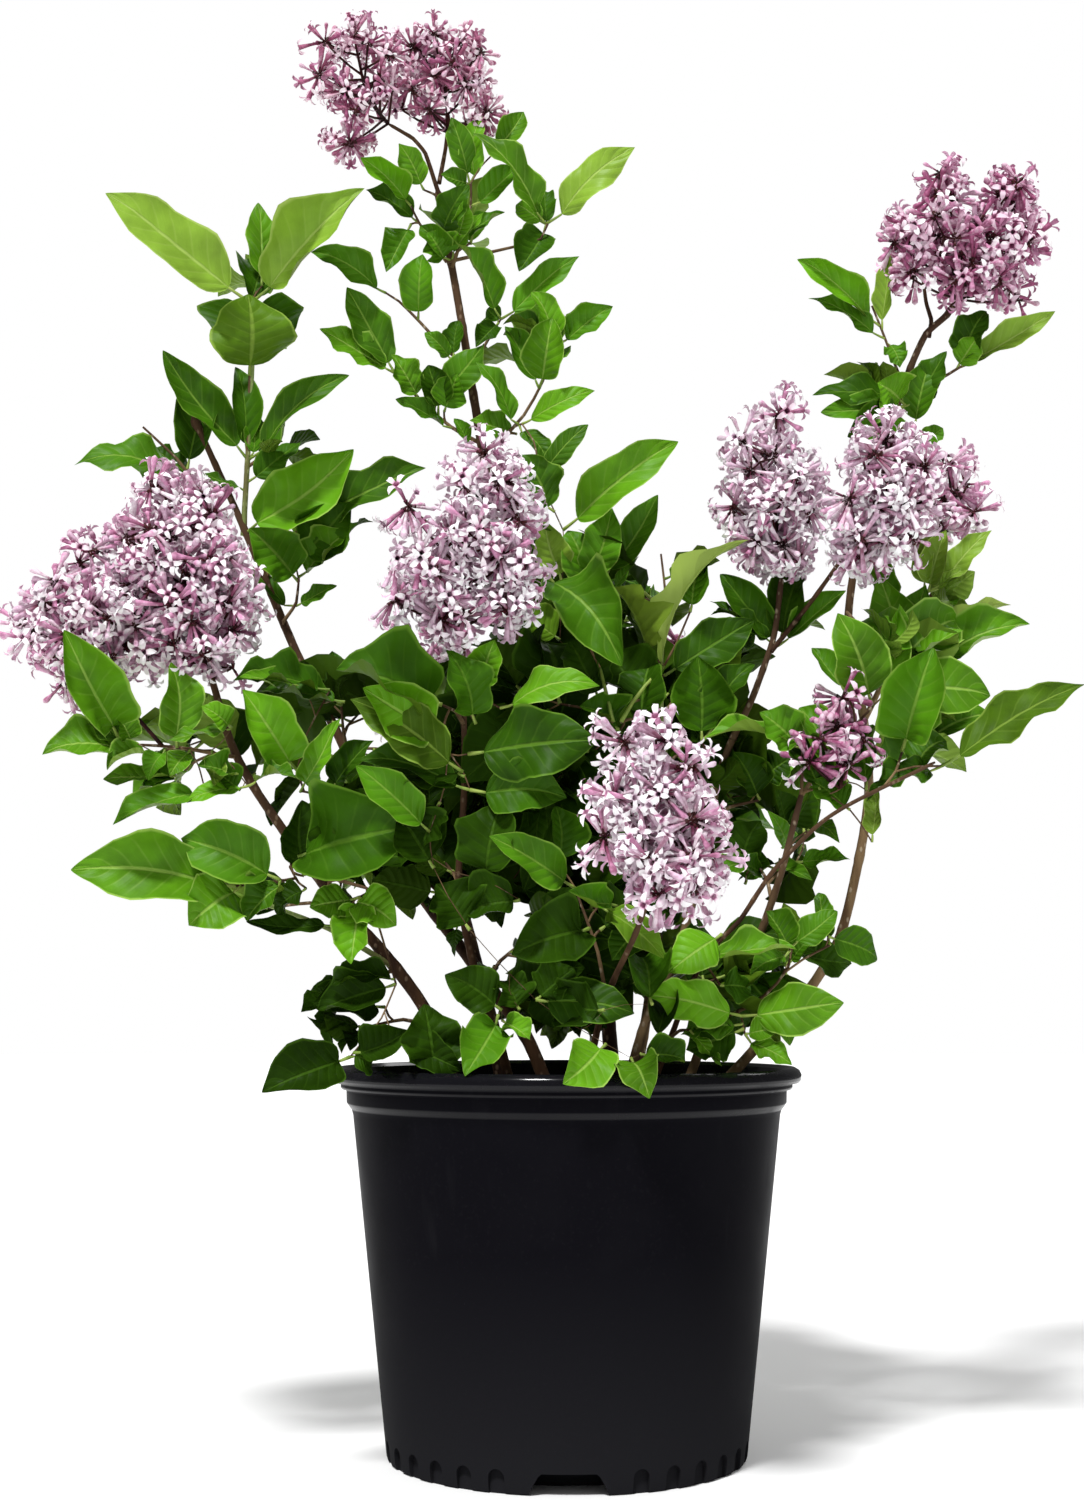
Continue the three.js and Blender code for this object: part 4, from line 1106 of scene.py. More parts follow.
def add_leaf(foot, tip, face, width, colour, kind):
    """Hangs a leaf on the wood at `foot`: its stalk now, and its blade with the others later."""
    blade_foot = foot + (tip - foot) * STALK_SHARE
    stalk_foot, away = nearest_wood(foot)
    if away > LEAF_REACH:
        stalk_foot = foot
    middle = (stalk_foot + blade_foot) / 2 + unit(tip - foot) * 0.6 - face * 0.5
    stalk_paths.append(bent(stalk_foot, middle, blade_foot, STALK_RINGS))
    stalk_radii.append(np.linspace(*STALK_RADII, STALK_RINGS) * (0.7 + width / 60))
    leaves.append((blade_foot, tip, face, width, colour, kind))


for places in SHOWN_STALKS:
    path = np.array([seen(*place) for place in places])
    stalk_paths.append(path)
    stalk_radii.append(np.linspace(*LONG_STALK_RADII, STALK_RINGS))
    remember_wood(path, stalk_radii[-1])

for depth, rows in SHOWN_LEAVES.values():
    for foot_x, foot_y, tip_x, tip_y, reach, width, lean, colour in rows:
        foot = seen(foot_x, foot_y, depth)
        tip = seen(tip_x, tip_y, depth + reach)
        if nearest_wood(foot)[1] > LEAF_REACH:
            grow_twig(foot)
        axis = unit(tip - foot)
        front = across_from(axis, VIEWER - (foot + tip) / 2)
        up = np.cross(axis, front)
        if up[2] < 0:
            up = -up
        face = front * cos(radians(lean)) + up * sin(radians(lean))
        add_leaf(foot, tip, face, width * UNFOLDED, colour, "near")


def in_view(places):
    """Where places in mm show in the view, across and down."""
    gap = places - VIEWER
    ahead = gap @ VIEW_AHEAD
    above = gap @ VIEW_ABOVE
    return np.column_stack([VIEW_WIDTH / 2 + gap[:, 0] / ahead * FOCAL,
                            VIEW_HEIGHT / 2 - above / ahead * FOCAL])


def blocks_sky(foot, tip):
    """Whether a leaf from foot to tip would hide one of the gaps that show the sky."""
    spots = in_view(foot + (tip - foot) * np.array((0.35, 0.65, 0.95))[:, None])
    gaps = np.array(OPEN_SKY)
    away = np.linalg.norm(spots[:, None] - gaps[:, :2], axis=2)
    return bool((away < gaps[:, 2] + SKY_MARGIN).any())


def fill_leaf(foot, axis, shortest, longest, middle, radii, lighter):
    """Hangs a leaf that stays in its mass, and leaves the sky open, on a twig at `foot`."""
    length = luck.uniform(shortest, longest)
    while (length > SHORTEST_LEAF
           and np.linalg.norm((foot + axis * length - middle) / radii) > MASS_REACH):
        length *= 0.9
    tip = foot + axis * length
    if blocks_sky(foot, tip):
        return
    wish = (np.array((0, 0, 0.8)) + 0.6 * unit(foot - CROWN_MIDDLE)
            + luck.normal(0, 0.35, 3))
    face = across_from(axis, wish)
    # The leaf's colour is painted light and shade: darker the nearer it is to the crown's middle.
    light_reached = np.linalg.norm((tip - CROWN_MIDDLE) / CROWN_REACH) + luck.normal(0, 0.13) + lighter
    colour = next((name for name, limit in PAINTED_SHADE_LIMITS.items() if light_reached < limit), "bright")
    add_leaf(foot, tip, face, length * luck.uniform(0.56, 0.74), colour, "fill")


def grow_spray(middle, radii, lighter):
    """Grows a twig somewhere in a mass, with pairs of leaves. A twig that stays bare is removed."""
    end = middle + unit(luck.normal(size=3)) * radii * 0.68 * luck.random() ** 0.4
    leaves_before = len(leaves)
    wood_before = dict(wood)
    twig = grow_twig(end)
    way = unit(twig[-1] - twig[-3])
    spin = unit(np.cross(way, unit(luck.normal(size=3))))
    for ring, spread, shortest, longest in SPRAY_PAIRS:
        spin = unit(np.cross(way, spin))
        for hand in (1, -1):
            foot = twig[ring]
            out = unit(foot - CROWN_MIDDLE) * 0.3 + np.array((0, 0, luck.normal(0.05, 0.25)))
            axis = unit(way * cos(spread) + spin * hand * sin(spread) + out)
            fill_leaf(foot, axis, shortest, longest, middle, radii, lighter)
    if len(leaves) == leaves_before:
        twig_paths.pop()
        twig_radii.pop()
        wood.update(wood_before)


for middle, size, sprays, lighter in [*LEAF_MASSES.values(), *SHADED_FILL]:
    for spray in range(sprays):
        grow_spray(np.array(middle, float), np.array(size) / 2, lighter)


def blade_points(pattern, rows, unrest):
    """The points of many blades: folded, bowed, wavy and curled, each its own way."""
    foot, tip, face = (np.array([row[i] for row in rows]) for i in range(3))
    width = np.array([row[3] for row in rows])[:, None]

    def each(low, high):
        """A number between these two for each blade."""
        return luck.uniform(low, high, (len(rows), 1))

    def each_about(middle, spread):
        """A number near the middle one for each blade."""
        return luck.normal(middle, spread, (len(rows), 1))

    x = pattern[0][:, 0]
    t = pattern[0][:, 1]
    length = np.linalg.norm(tip - foot, axis=1)[:, None]
    ahead = unit(tip - foot)
    across = unit(np.cross(ahead, face))
    face = np.cross(across, ahead)
    power = each(0.52, 0.66)
    full = t ** power * (1 - t) ** (power * (1 - WIDEST) / WIDEST)
    full = full / full.max(axis=1, keepdims=True) * (1 - 0.35 * np.clip((t - 0.74) / 0.26, 0, 1))
    ragged = sum(size * np.sin(tau * (turns * t + x * each(0, 1)) + each(0, tau))
                 for size, turns in ((0.05, 2.1), (0.018, 5.2)))
    half = width / 2 * full * (1 + unrest * ragged * np.abs(x))
    fold = each(0.1, 0.7) * (0.45 + 0.55 * np.sin(pi * t))
    wave = np.sin(tau * each(1.2, 2.8) * t + each(0, tau) + (x > 0) * each(1, 5))
    ripple = each(0.1, 0.45) * unrest * wave * x ** 2 * half
    pillows = np.abs(np.sin(pi * VEIN_PAIRS * (t - VEIN_SLANT * np.abs(x))))
    quilt = 0.035 * half * pillows * (1 - x ** 2)
    curl = each(-0.2, 0.6) * unrest * half * x ** 4
    lift = np.abs(x) ** 1.15 * half * np.sin(fold) + ripple + quilt + curl
    side = x * half * np.cos(fold)
    turn = each_about(0, 0.5) * (t - 0.35)
    side, lift = side * np.cos(turn) - lift * np.sin(turn), side * np.sin(turn) + lift * np.cos(turn)
    bow = each(-0.04, 0.16)
    drop = each(0.0, 0.07) * np.clip((t - 0.72) / 0.28, 0, 1) ** 2
    rise = length * (bow * 4 * t * (1 - t) - drop)
    sway = length * each_about(0, 0.035) * np.sin(pi * t)
    slope = bow * 4 * (1 - 2 * t)
    normal = unit(face[:, None, :] - ahead[:, None, :] * slope[:, :, None])
    return (foot[:, None, :] + ahead[:, None, :] * (length * t)[:, :, None]
            + face[:, None, :] * rise[:, :, None] + across[:, None, :] * (side + sway)[:, :, None]
            + normal * lift[:, :, None])


def tone(red, green, blue):
    """A base colour from the usual 0 to 255 values."""
    levels = np.array((red, green, blue)) / 255
    return (*np.where(levels < 0.04045, levels / 12.92, ((levels + 0.055) / 1.055) ** 2.4), 1)


veins, veins_in, veins_out = node_group(
    "leaf_veins", {"Map": "Vector"}, {"Rib": "Float", "Veins": "Float", "Edge_highlight": "Float",
                                      "Height": "Float"})
map_axes = add(veins, "SeparateXYZ")
veins.links.new(veins_in.outputs["Map"], map_axes.inputs[0])
centred = compute(veins, "SUBTRACT", map_axes.outputs["X"], 0.5)
off_rib = compute(veins, "MULTIPLY", compute(veins, "ABSOLUTE", centred), 2.0)
slanted = compute(veins, "MULTIPLY_ADD", off_rib, -VEIN_SLANT, map_axes.outputs["Y"])
pairs = compute(veins, "FRACT", compute(veins, "MULTIPLY", slanted, VEIN_PAIRS))
between = compute(veins, "ABSOLUTE", compute(veins, "SUBTRACT", pairs, 0.5))
rib = ramped(veins, off_rib, 0.075, 0.03)
side_veins = compute(veins, "MULTIPLY", ramped(veins, between, 0.4, 0.48),
                     ramped(veins, off_rib, 0.95, 0.6))
pillow = compute(veins, "MULTIPLY", ramped(veins, between, 0.5, 0.1), 0.8)
veins.links.new(rib, veins_out.inputs["Rib"])
veins.links.new(side_veins, veins_out.inputs["Veins"])
# The edge is a pale line along the blade's rim, a painted highlight.
veins.links.new(ramped(veins, off_rib, 0.92, 0.97), veins_out.inputs["Edge_highlight"])
veins.links.new(compute(veins, "SUBTRACT", pillow, rib), veins_out.inputs["Height"])


def leaf_finish(name, top, under, vein, gloss):
    """A leaf's finish: veined and mottled on top, paler and duller underneath."""
    made, tree, shader = material(name, 0.46, gloss)
    pattern = grouped(tree, veins, add(tree, "UVMap", uv_map="blade").outputs[0])
    place = add(tree, "TexCoord").outputs["Object"]
    tint = add(tree, "Attribute", attribute_name="tint").outputs["Fac"]
    mottle = compute(tree, "MULTIPLY_ADD", fractal(tree, place, 55.0, 4.0), 0.9, -0.45)
    shade = compute(tree, "ADD", mottle, tint)
    lighter = tuple(min(1.0, 1.45 * channel) for channel in top[:3]) + (1,)
    darker = tuple(0.6 * channel for channel in top[:3]) + (1,)
    upper = mixed(tree, ramped(tree, shade, 0.15, 0.85), darker, lighter)
    # The pale edge line paints the highlight that the blade's rim catches.
    for part, amount in (("Veins", 0.14), ("Rib", 0.62), ("Edge_highlight", 0.8)):
        upper = mixed(tree, compute(tree, "MULTIPLY", pattern.outputs[part], amount), upper, vein)
    lower = mixed(tree, compute(tree, "MULTIPLY", pattern.outputs["Rib"], 0.7), under, vein)
    back = add(tree, "NewGeometry").outputs["Backfacing"]
    tree.links.new(mixed(tree, back, upper, lower), shader.inputs["Base Color"])
    bumpy(tree, shader, pattern.outputs["Height"], 0.55, 0.0009)
    return made


# For each colour of leaf: its top, its underside, its veins, and how glossy it is. From "bright"
# through "green" and "deep" to "shade" the tops are one green with ever more painted shade.
LEAF_COLOURS = {
    "bright": (tone(88, 142, 18), tone(122, 154, 54), tone(158, 194, 86), 0.13),
    "green": (tone(70, 119, 14), tone(102, 132, 38), tone(134, 172, 66), 0.12),
    "deep": (tone(50, 89, 8), tone(76, 104, 22), tone(100, 140, 42), 0.08),
    "shade": (tone(36, 63, 6), tone(50, 76, 12), tone(66, 100, 24), 0.04),
    "pale": (tone(118, 152, 46), tone(142, 166, 72), tone(176, 202, 104), 0.2),
    "olive": (tone(80, 115, 22), tone(104, 130, 38), tone(136, 166, 66), 0.08),
}
for colour, (top, under, vein, gloss) in LEAF_COLOURS.items():
    finish = leaf_finish(colour + "_leaf", top, under, vein, gloss)
    for kind, pattern in LEAF_PATTERNS.items():
        rows = [row for row in leaves if row[4:] == (colour, kind)]
        if rows:
            name = kind + "_leaves_" + colour
            tints = np.repeat(luck.uniform(0.25, 0.75, len(rows)), len(pattern[0]))
            uv = np.column_stack([(pattern[0][:, 0] + 1) / 2, pattern[0][:, 1]])
            mesh = joined_mesh(name, pattern, blade_points(pattern, rows, UNREST[kind]),
                               {"tint": tints}, uv)
            part_of_bush(new_object(name, mesh, finish), "foliage", *LEAF_MASSES)


def tubes(name, sides, paths, radii, aged=False):
    """One mesh of many tapering tubes. `aged` marks how far each place is from foot to tip."""
    rings = len(paths[0])
    pattern = as_arrays(tube_shape(sides, rings))
    ages = np.tile(pattern[0][:, 2] / (rings - 1), len(paths))
    return joined_mesh(name, pattern, sweep(pattern, np.array(paths), np.array(radii)),
                       {"age": ages} if aged else None)


stalk_finish = mottled("leaf_stalk", 0.5, 0.3, (tone(112, 140, 52), tone(158, 178, 84)), 70.0)[0]
stalks = new_object("leaf_stalks", tubes("leaf_stalks", STALK_SIDES, stalk_paths, stalk_radii),
                    stalk_finish)
part_of_bush(stalks, "green_bark")


# ------------------------------------------------------------------------------------------------
# Twig bark
# All the twigs, grown above as the leaves needed them, are joined here as one piece. They have the
# tan bark of the younger stems.
# ------------------------------------------------------------------------------------------------

twig_mesh = tubes("twigs", TWIG_SIDES, twig_paths, twig_radii, aged=True)
twigs = new_object("twigs", twig_mesh, BARK_FINISHES["tan"])
part_of_bush(twigs, "bark")


# ------------------------------------------------------------------------------------------------
# Blossom
# Thirteen panicles of lilac. Dark branches leave each middle stalk and end in bursts of slender
# long-tubed florets, some open as stars of four small petals and some still closed like clubs.
# ------------------------------------------------------------------------------------------------

FLORET_SEED = 33
FLORET_SIDES = 6
TUBE_RADII = (0.7, 1.05, 1.75)
TUBE_LENGTH = 15.4
PETAL_REACH = 6.8           # from the axis of a floret to a petal's tip
PETAL_STEPS = (0, 0.42, 0.78, 1.0)      # of its four rows, from the mouth to its tip
PETAL_HALF_WIDTHS = (1.05, 1.5, 1.1, 0.1)
PETAL_RISES = (0.0, 0.5, 0.0, -1.3)
EDGE_RISES = (0, 0.6, 0.48, 0)          # how much higher its edges are
BUD_RADII = (0.7, 0.85, 1.15, 2.0, 1.85, 0.4)
BUD_HEIGHTS = (0, 5.0, 10.0, 13.6, 15.6, 16.8)
CALYX_SIDES = 4
CALYX_RADII = (0.6, 1.15)
CALYX_HEIGHTS = (-1.4, 2.2)
BURST_FLORETS = 22          # before those that don't fit the panicle are left out
DEEPEST_TIP = 6.0           # under the outline, florets that would end deeper are left out
BURST_GAP = 1.4             # the least gap between bursts, in shares of the panicle's spacing
NODE_DEPTHS = (3.0, 11.0)   # of the bursts' middles under the outline of the panicle
OVERHANG = 5.5              # how far the florets reach past the lobes of a panicle
NODE_TRIES = 1400
BRANCH_RINGS = 4
BRANCH_SIDES = 5
LOBE_BRANCH = (0.9, 0.7, 0.1)           # radius at its foot and tip, and how far it sags
BURST_BRANCH = (0.65, 0.5, 0.08)        # the same
STALK_PARTS = 6             # branch pieces that make up a panicle's middle stalk
FADED_SIZE = 0.88           # of florets in the faded panicles
FADED_DEPTH = 0.6           # of their bursts, against those of the others
OTHER_TONE_SHARE = 0.3      # of the florets have the tone that stands beside their panicle's own
OTHER_TONES = {"faded": "deep", "deep": "mauve", "mauve": "pale", "pale": "mauve"}

# Each panicle in view: its depth and half its thickness in mm, the space between its bursts, the
# share of its florets that are open, its tone, and its lobes: their places across and down in the
# view and their radii there.
SHOWN_PANICLES = {
    "bloom_top_left": (44, 28, 9.5, 0.4, "faded", [
        (325, 42, 17), (354, 36, 19), (319, 75, 17), (339, 88, 22), (356, 110, 16), (388, 54, 18),
        (380, 78, 16), (368, 44, 15), (372, 98, 15), (392, 92, 14), (350, 143, 6)]),
    "bloom_top_right": (60, 28, 9.5, 0.4, "faded", [
        (434, 34, 16), (420, 50, 22), (458, 40, 22), (478, 54, 20), (446, 72, 26), (474, 84, 22),
        (414, 92, 20), (430, 110, 17), (402, 110, 15), (480, 114, 20), (466, 124, 14)]),
    "bloom_left": (-58, 44, 9.6, 0.55, "mauve", [
        (165, 496, 33), (198, 512, 34), (146, 548, 42), (210, 562, 42), (178, 588, 46),
        (128, 610, 42), (236, 598, 34), (196, 640, 40), (142, 650, 36), (226, 634, 26),
        (233, 668, 19)]),
    "bloom_left_outer": (-70, 38, 9.6, 0.42, "mauve", [
        (92, 558, 30), (52, 598, 33), (96, 606, 34), (32, 630, 30), (66, 648, 36), (104, 654, 32),
        (72, 684, 24), (128, 596, 26)]),
    "bloom_centre": (-95, 42, 9.2, 0.66, "pale", [
        (484, 452, 23), (462, 486, 26), (500, 484, 31), (408, 506, 24), (468, 532, 36),
        (518, 512, 27), (396, 560, 24), (430, 568, 34), (504, 560, 35), (404, 606, 29),
        (450, 612, 33), (506, 598, 33), (526, 564, 20)]),
    "bloom_top_far_right": (42, 48, 9.2, 0.4, "deep", [
        (944, 188, 30), (1006, 196, 32), (905, 236, 31), (944, 236, 36), (990, 244, 40),
        (1022, 240, 30), (960, 272, 36), (908, 276, 28), (1002, 284, 26), (1022, 300, 22)]),
    "bloom_right_upper": (-25, 34, 9.4, 0.7, "pale", [
        (776, 416, 26), (742, 440, 22), (760, 462, 34), (794, 478, 32), (735, 506, 26),
        (772, 516, 38), (812, 512, 26), (786, 556, 30), (752, 540, 26)]),
    "bloom_right_outer": (-48, 36, 10, 0.66, "pale", [
        (894, 434, 28), (868, 460, 28), (912, 464, 30), (850, 498, 28), (888, 502, 36),
        (926, 500, 26), (868, 542, 34), (906, 540, 30), (856, 566, 24)]),
    "bloom_far_right": (18, 26, 10.5, 0.5, "mauve", [
        (948, 462, 24), (944, 494, 26), (966, 488, 23), (942, 524, 22), (974, 512, 21)]),
    "bloom_small_right": (-65, 24, 10, 0.2, "deep", [
        (838, 714, 29), (822, 744, 27), (856, 746, 27), (810, 762, 22), (842, 698, 22),
        (848, 766, 20)]),
    "bloom_front": (-190, 38, 9.4, 0.66, "pale", [
        (624, 742, 26), (656, 740, 28), (688, 770, 27), (612, 792, 30), (655, 800, 38),
        (696, 812, 32), (604, 838, 26), (642, 850, 38), (686, 858, 38), (712, 854, 24),
        (654, 890, 32), (688, 886, 30)]),
}
# The two panicles at the back: middle and size in mm.
REAR_PANICLES = {
    "bloom_rear_left": ((-85, 190, 486), (72, 74, 100)),
    "bloom_rear_right": ((76, 196, 474), (72, 74, 98)),
}
REAR_LOBES = [(0.0, 0.0, 0.72, 0.5), (0.0, 0.4, 0.1, 0.6), (2.1, 0.4, 0.1, 0.6),
              (4.2, 0.4, 0.1, 0.6), (1.0, 0.42, -0.5, 0.56), (3.1, 0.42, -0.5, 0.56),
              (5.2, 0.42, -0.5, 0.56)]
# For both of them: the space between their bursts, the share of open florets and the tone.
REAR_KIND = (10.5, 0.5, "mauve")


def floret_pattern():
    """An open floret up the z axis in mm: a tube that widens, and four petals at its mouth."""
    shape = bmesh.new()
    bmesh.ops.create_grid(shape, x_segments=2, y_segments=3, size=1.0)
    rows = sorted({round(vertex.co.y, 4) for vertex in shape.verts})
    for vertex in shape.verts:
        row = rows.index(round(vertex.co.y, 4))
        reach = TUBE_RADII[2] * 0.8 + (PETAL_REACH - TUBE_RADII[2]) * PETAL_STEPS[row]
        rise = PETAL_RISES[row] + abs(vertex.co.x) * EDGE_RISES[row]
        vertex.co = (vertex.co.x * PETAL_HALF_WIDTHS[row], reach, TUBE_LENGTH + rise)
    bmesh.ops.spin(shape, geom=shape.verts[:] + shape.edges[:] + shape.faces[:], cent=(0, 0, 0),
                   axis=(0, 0, 1), angle=tau, steps=4, use_duplicate=True)
    bmesh.ops.remove_doubles(shape, verts=shape.verts, dist=SAME_POINT)
    foot = 0.0
    for low, high in zip(TUBE_RADII, TUBE_RADII[1:]):
        tube = bmesh.ops.create_cone(shape, cap_ends=False, segments=FLORET_SIDES, radius1=low,
                                     radius2=high, depth=TUBE_LENGTH / 2)["verts"]
        bmesh.ops.translate(shape, verts=tube, vec=(0, 0, foot + TUBE_LENGTH / 4))
        foot += TUBE_LENGTH / 2
    bmesh.ops.remove_doubles(shape, verts=shape.verts, dist=SAME_POINT)
    return as_arrays(shape)


def ringed_pattern(sides, radii, heights):
    """A closed round shape up the z axis in mm, with these radii at these heights."""
    pattern = as_arrays(tube_shape(sides, len(radii)))
    ring = ring_numbers(pattern)
    pattern[0][:, :2] *= np.array(radii)[ring, None]
    pattern[0][:, 2] = np.array(heights, float)[ring]
    return pattern


def placed(pattern, rows, spread=0.0):
    """A copy of the pattern for each floret of these rows, spun, bent and spread by chance."""
    places, ways = (np.array([row[i] for row in rows]) for i in range(2))
    sizes = np.array([row[2] for row in rows])
    ways = unit(ways)
    side = unit(np.cross(ways, unit(luck.normal(size=ways.shape))))
    over = np.cross(ways, side)
    points = np.repeat(pattern[0][None], len(places), axis=0)
    out = np.clip(np.linalg.norm(points[:, :, :2], axis=2) - TUBE_RADII[2], 0, None)
    points[:, :, 2] += luck.normal(0.0, 0.24, (len(places), 1)) * spread * out ** 1.3
    points[:, :, 0] += luck.normal(0, 1.0, (len(places), 1)) * (points[:, :, 2] / TUBE_LENGTH) ** 2
    points *= sizes[:, None, None]
    return (places[:, None] + points[:, :, :1] * side[:, None] + points[:, :, 1:2] * over[:, None]
            + points[:, :, 2:] * ways[:, None])


luck = np.random.default_rng(FLORET_SEED)
branch_paths = []
branch_radii = []
florets = []                # for each floret: place, way, size, kind, tone


def add_branch(start, end, foot, tip, sag=0.0):
    """Keeps a thin flower branch from start to end that hangs through by `sag` of its length."""
    middle = (start + end) / 2 - (0, 0, sag * np.linalg.norm(end - start))
    branch_paths.append(bent(start, middle, end, BRANCH_RINGS))
    branch_radii.append(np.linspace(foot, tip, BRANCH_RINGS))


def lobe_depths(places, centres, radii):
    """How deep places lie in the lobes, in mm, and the number of the lobe each is deepest in."""
    deep = radii - np.linalg.norm(np.asarray(places)[:, None] - centres, axis=2)
    return deep.max(axis=1), deep.argmax(axis=1)


def add_burst(node, depth, outward, centres, radii, openness, tone_name):
    """A burst of florets from one node, without those that would end deep in the panicle."""
    ways = unit(outward * 0.15 + unit(luck.normal(size=(BURST_FLORETS, 3))))
    sizes = luck.uniform(0.9, 1.2, BURST_FLORETS) * (FADED_SIZE if tone_name == "faded" else 1.0)
    tips = node + ways * (TUBE_LENGTH * sizes)[:, None]
    for way, size, tip_depth in zip(ways, sizes, lobe_depths(tips, centres, radii)[0]):
        too_far_out = tip_depth < -luck.uniform(3, 12) and depth > NODE_DEPTHS[0]
        too_deep = tip_depth > DEEPEST_TIP
        if too_deep or too_far_out or (way @ outward > 0.72 and luck.random() < 0.6):
            continue
        kind = "open" if luck.random() < openness else "bud"
        if kind == "bud":
            size *= luck.uniform(0.72, 1.0)
        shade = OTHER_TONES[tone_name] if luck.random() < OTHER_TONE_SHARE else tone_name
        florets.append((node + way * luck.uniform(0.5, 3.0), way, size, kind, shade))


def grow_stalks(centres, middle):
    """The middle stalk of a panicle, from the nearest wood to its top, and a branch to each lobe."""
    low_point = np.array((middle[0], middle[1], np.quantile(centres[:, 2], 0.15) - 8))
    source = branch_point(low_point)
    foot = wood["place"][source]
    top = centres[np.argmax(centres[:, 2])]
    stalk, _ = smooth_path([foot, (middle + foot) / 2 + wood["way"][source] * 4, top], 4.0)
    steps = np.linspace(0, len(stalk) - 1, STALK_PARTS + 1).round().astype(int)
    for first, second in zip(steps, steps[1:]):
        share = first / len(stalk)
        add_branch(stalk[first], stalk[second], 1.35 - 0.6 * share, 1.25 - 0.6 * share)
    for centre in centres:
        wanted = centre - (0, 0, 0.6 * np.linalg.norm((centre - middle)[:2]))
        joint = stalk[np.argmin(np.linalg.norm(stalk - wanted, axis=1))]
        add_branch(joint, centre, *LOBE_BRANCH)


def burst_nodes(centres, radii, spacing, shallow):
    """Where the bursts of a panicle start: apart from each other, close under its outline."""
    chosen = luck.integers(len(centres), size=NODE_TRIES)
    far = radii[chosen] * luck.random(NODE_TRIES) ** (1 / 3)
    tries = centres[chosen] + unit(luck.normal(size=(NODE_TRIES, 3))) * far[:, None]
    nodes = list(centres[radii < shallow + 5])
    for place, depth in zip(tries, lobe_depths(tries, centres, radii)[0]):
        if shallow < depth < NODE_DEPTHS[1]:
            apart = spacing * BURST_GAP
            if not nodes or np.linalg.norm(np.array(nodes) - place, axis=1).min() > apart:
                nodes.append(place)
    return nodes


def grow_panicle(lobes, spacing, openness, tone_name):
    """One panicle: a stalk up its middle, a branch to each lobe, and bursts under its outline."""
    centres = np.array([centre for centre, radius in lobes])
    radii = np.array([radius for centre, radius in lobes])
    middle = centres.mean(axis=0)
    grow_stalks(centres, middle)
    shallow = NODE_DEPTHS[0] * (FADED_DEPTH if tone_name == "faded" else 1.0)
    nodes = burst_nodes(centres, radii, spacing, shallow)
    for node, depth, number in zip(nodes, *lobe_depths(nodes, centres, radii)):
        gap = node - centres[number]
        if np.linalg.norm(gap) > 2:
            add_branch(centres[number], node, *BURST_BRANCH)
        outward = unit(gap / radii[number] + 0.5 * unit(node - middle))
        add_burst(node, depth, outward, centres, radii, openness, tone_name)


for depth, half_thickness, spacing, openness, tone_name, rows in SHOWN_PANICLES.values():
    spots = np.array([row[:2] for row in rows], float)
    reach = np.array([row[2] for row in rows], float)[:, None]
    low, high = (spots - reach * 0.8).min(axis=0), (spots + reach * 0.8).max(axis=0)
    off = 2 * (spots - (low + high) / 2) / (high - low)
    lobes = []
    for (across, down, size), (x, y) in zip(rows, off):
        radius = max(3.0, size * (depth - VIEWER[1]) / FOCAL - OVERHANG)
        inward = max(0.0, half_thickness - radius) * max(0.0, 1 - x * x - y * y) ** 0.5
        if inward < 5:
            lobes.append((seen(across, down, depth + luck.uniform(-3, 3)), radius))
        else:
            lobes.append((seen(across, down, depth - inward), radius))
            lobes.append((seen(across, down, depth + inward), radius))
    grow_panicle(lobes, spacing, openness, tone_name)

for middle, size in REAR_PANICLES.values():
    half = np.array(size) / 2
    lobes = []
    for turn, out, up, radius in REAR_LOBES:
        centre = np.array(middle) + half * (out * cos(turn), out * sin(turn), up)
        lobes.append((centre, radius * half[0] - OVERHANG))
    grow_panicle(lobes, *REAR_KIND)


def petal_finish(name, low, high, petal, under):
    """Soft petals: deep at the tube's foot, paler to its mouth, palest over the spread petals."""
    made, tree, shader = material(name, 0.6, 0.25)
    along = add(tree, "Attribute", attribute_name="along").outputs["Fac"]
    tint = add(tree, "Attribute", attribute_name="tint").outputs["Fac"]
    streaks = fractal(tree, add(tree, "TexCoord").outputs["Object"], 380.0, 2.0)
    flecks = compute(tree, "MULTIPLY_ADD", compute(tree, "SUBTRACT", streaks, 0.5), 1.6, tint)
    tube = mixed(tree, ramped(tree, along, 0.05, 0.7), low, high)
    tube = mixed(tree, ramped(tree, flecks, -0.1, 0.5, 0.7, 0.0), tube, petal)
    tube = mixed(tree, ramped(tree, flecks, 0.55, 1.1, 0.0, 0.65), tube, low)
    spread = mixed(tree, ramped(tree, tint, 0.5, 1.0, 0.0, 0.4), petal, high)
    whole = mixed(tree, ramped(tree, along, 0.98, 1.2), tube, spread)
    back = add(tree, "NewGeometry").outputs["Backfacing"]
    turned = compute(tree, "MULTIPLY", back, ramped(tree, along, 0.99, 1.01))
    tree.links.new(mixed(tree, turned, whole, under), shader.inputs["Base Color"])
    return made


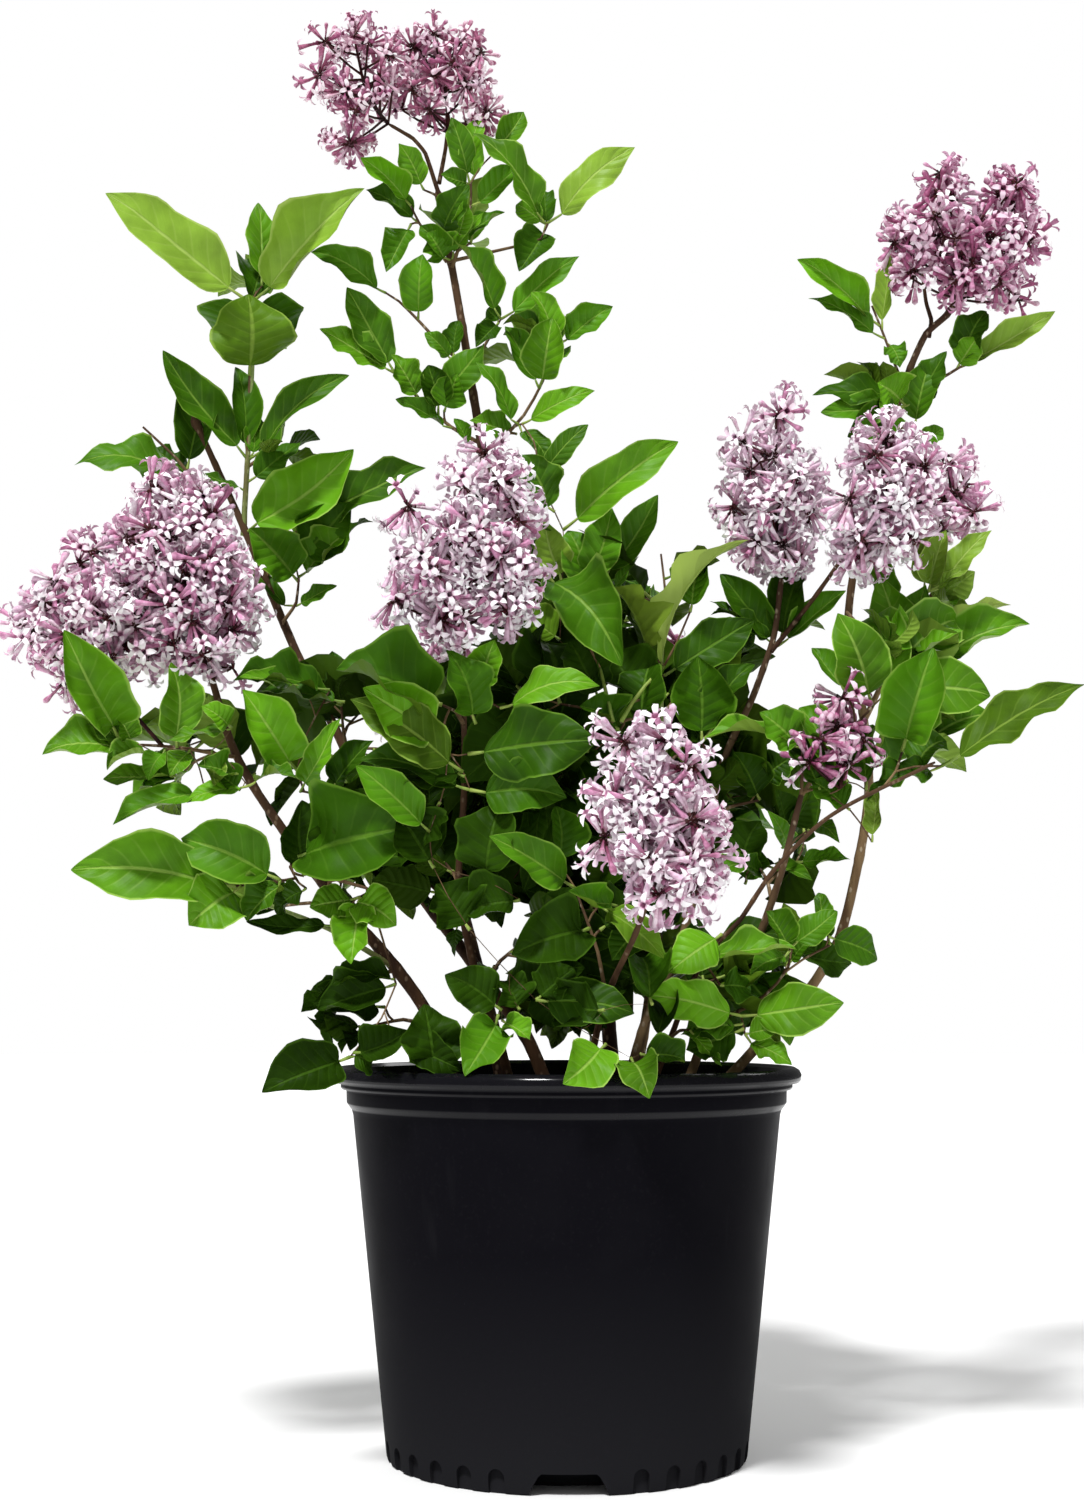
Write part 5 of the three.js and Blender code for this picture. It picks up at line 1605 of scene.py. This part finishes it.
# For each tone: the tube's foot, the tube's mouth, the petal's face and its back.
PETAL_COLOURS = {
    "pale": (tone(118, 32, 66), tone(220, 186, 208), tone(255, 254, 255), tone(236, 216, 228)),
    "mauve": (tone(112, 26, 62), tone(217, 154, 190), tone(255, 251, 253), tone(226, 186, 210)),
    "deep": (tone(98, 16, 54), tone(176, 98, 138), tone(238, 214, 228), tone(186, 128, 160)),
    "faded": (tone(90, 16, 46), tone(192, 116, 150), tone(250, 236, 243), tone(196, 144, 170)),
}
open_floret = floret_pattern()
bud = ringed_pattern(FLORET_SIDES, BUD_RADII, BUD_HEIGHTS)
# How far along each point of a floret is: 0 at its foot, 1 at the mouth, 2 at the petals' tips.
off_axis = np.linalg.norm(open_floret[0][:, :2], axis=1) - TUBE_RADII[2] * 1.05
open_stage = np.where(off_axis > 0, 1 + np.clip(off_axis / (PETAL_REACH - TUBE_RADII[2]), 0, 1),
                      np.clip(open_floret[0][:, 2] / TUBE_LENGTH, 0, 1))
bud_stage = bud[0][:, 2] / BUD_HEIGHTS[-1] * 1.1
floret_finishes = {shade: petal_finish(shade + "_petals", *colours)
                   for shade, colours in PETAL_COLOURS.items()}
for kind, pattern, stage, spread in (("open", open_floret, open_stage, 1.0),
                                     ("bud", bud, bud_stage, 0.0)):
    for shade, finish in floret_finishes.items():
        rows = [row for row in florets if row[3:] == (kind, shade)]
        copies = placed(pattern, rows, spread)
        values = {"along": np.tile(stage, len(rows)),
                  "tint": np.repeat(luck.random(len(rows)), len(stage))}
        name = "florets_" + kind + "_" + shade
        piece = new_object(name, joined_mesh(name, pattern, copies, values), finish)
        part_of_bush(piece, "blossom", *SHOWN_PANICLES, *REAR_PANICLES)

maroon = mottled("maroon_stalk", 0.6, 0.2, (tone(34, 12, 13), tone(70, 30, 26)), 120.0)[0]
calyx = ringed_pattern(CALYX_SIDES, CALYX_RADII, CALYX_HEIGHTS)
calyx_mesh = joined_mesh("calyxes", calyx, placed(calyx, florets))
branch_mesh = tubes("flower_branches", BRANCH_SIDES, branch_paths, branch_radii)
for name, mesh in (("calyxes", calyx_mesh), ("flower_branches", branch_mesh)):
    part_of_bush(new_object(name, mesh, maroon), "blossom")
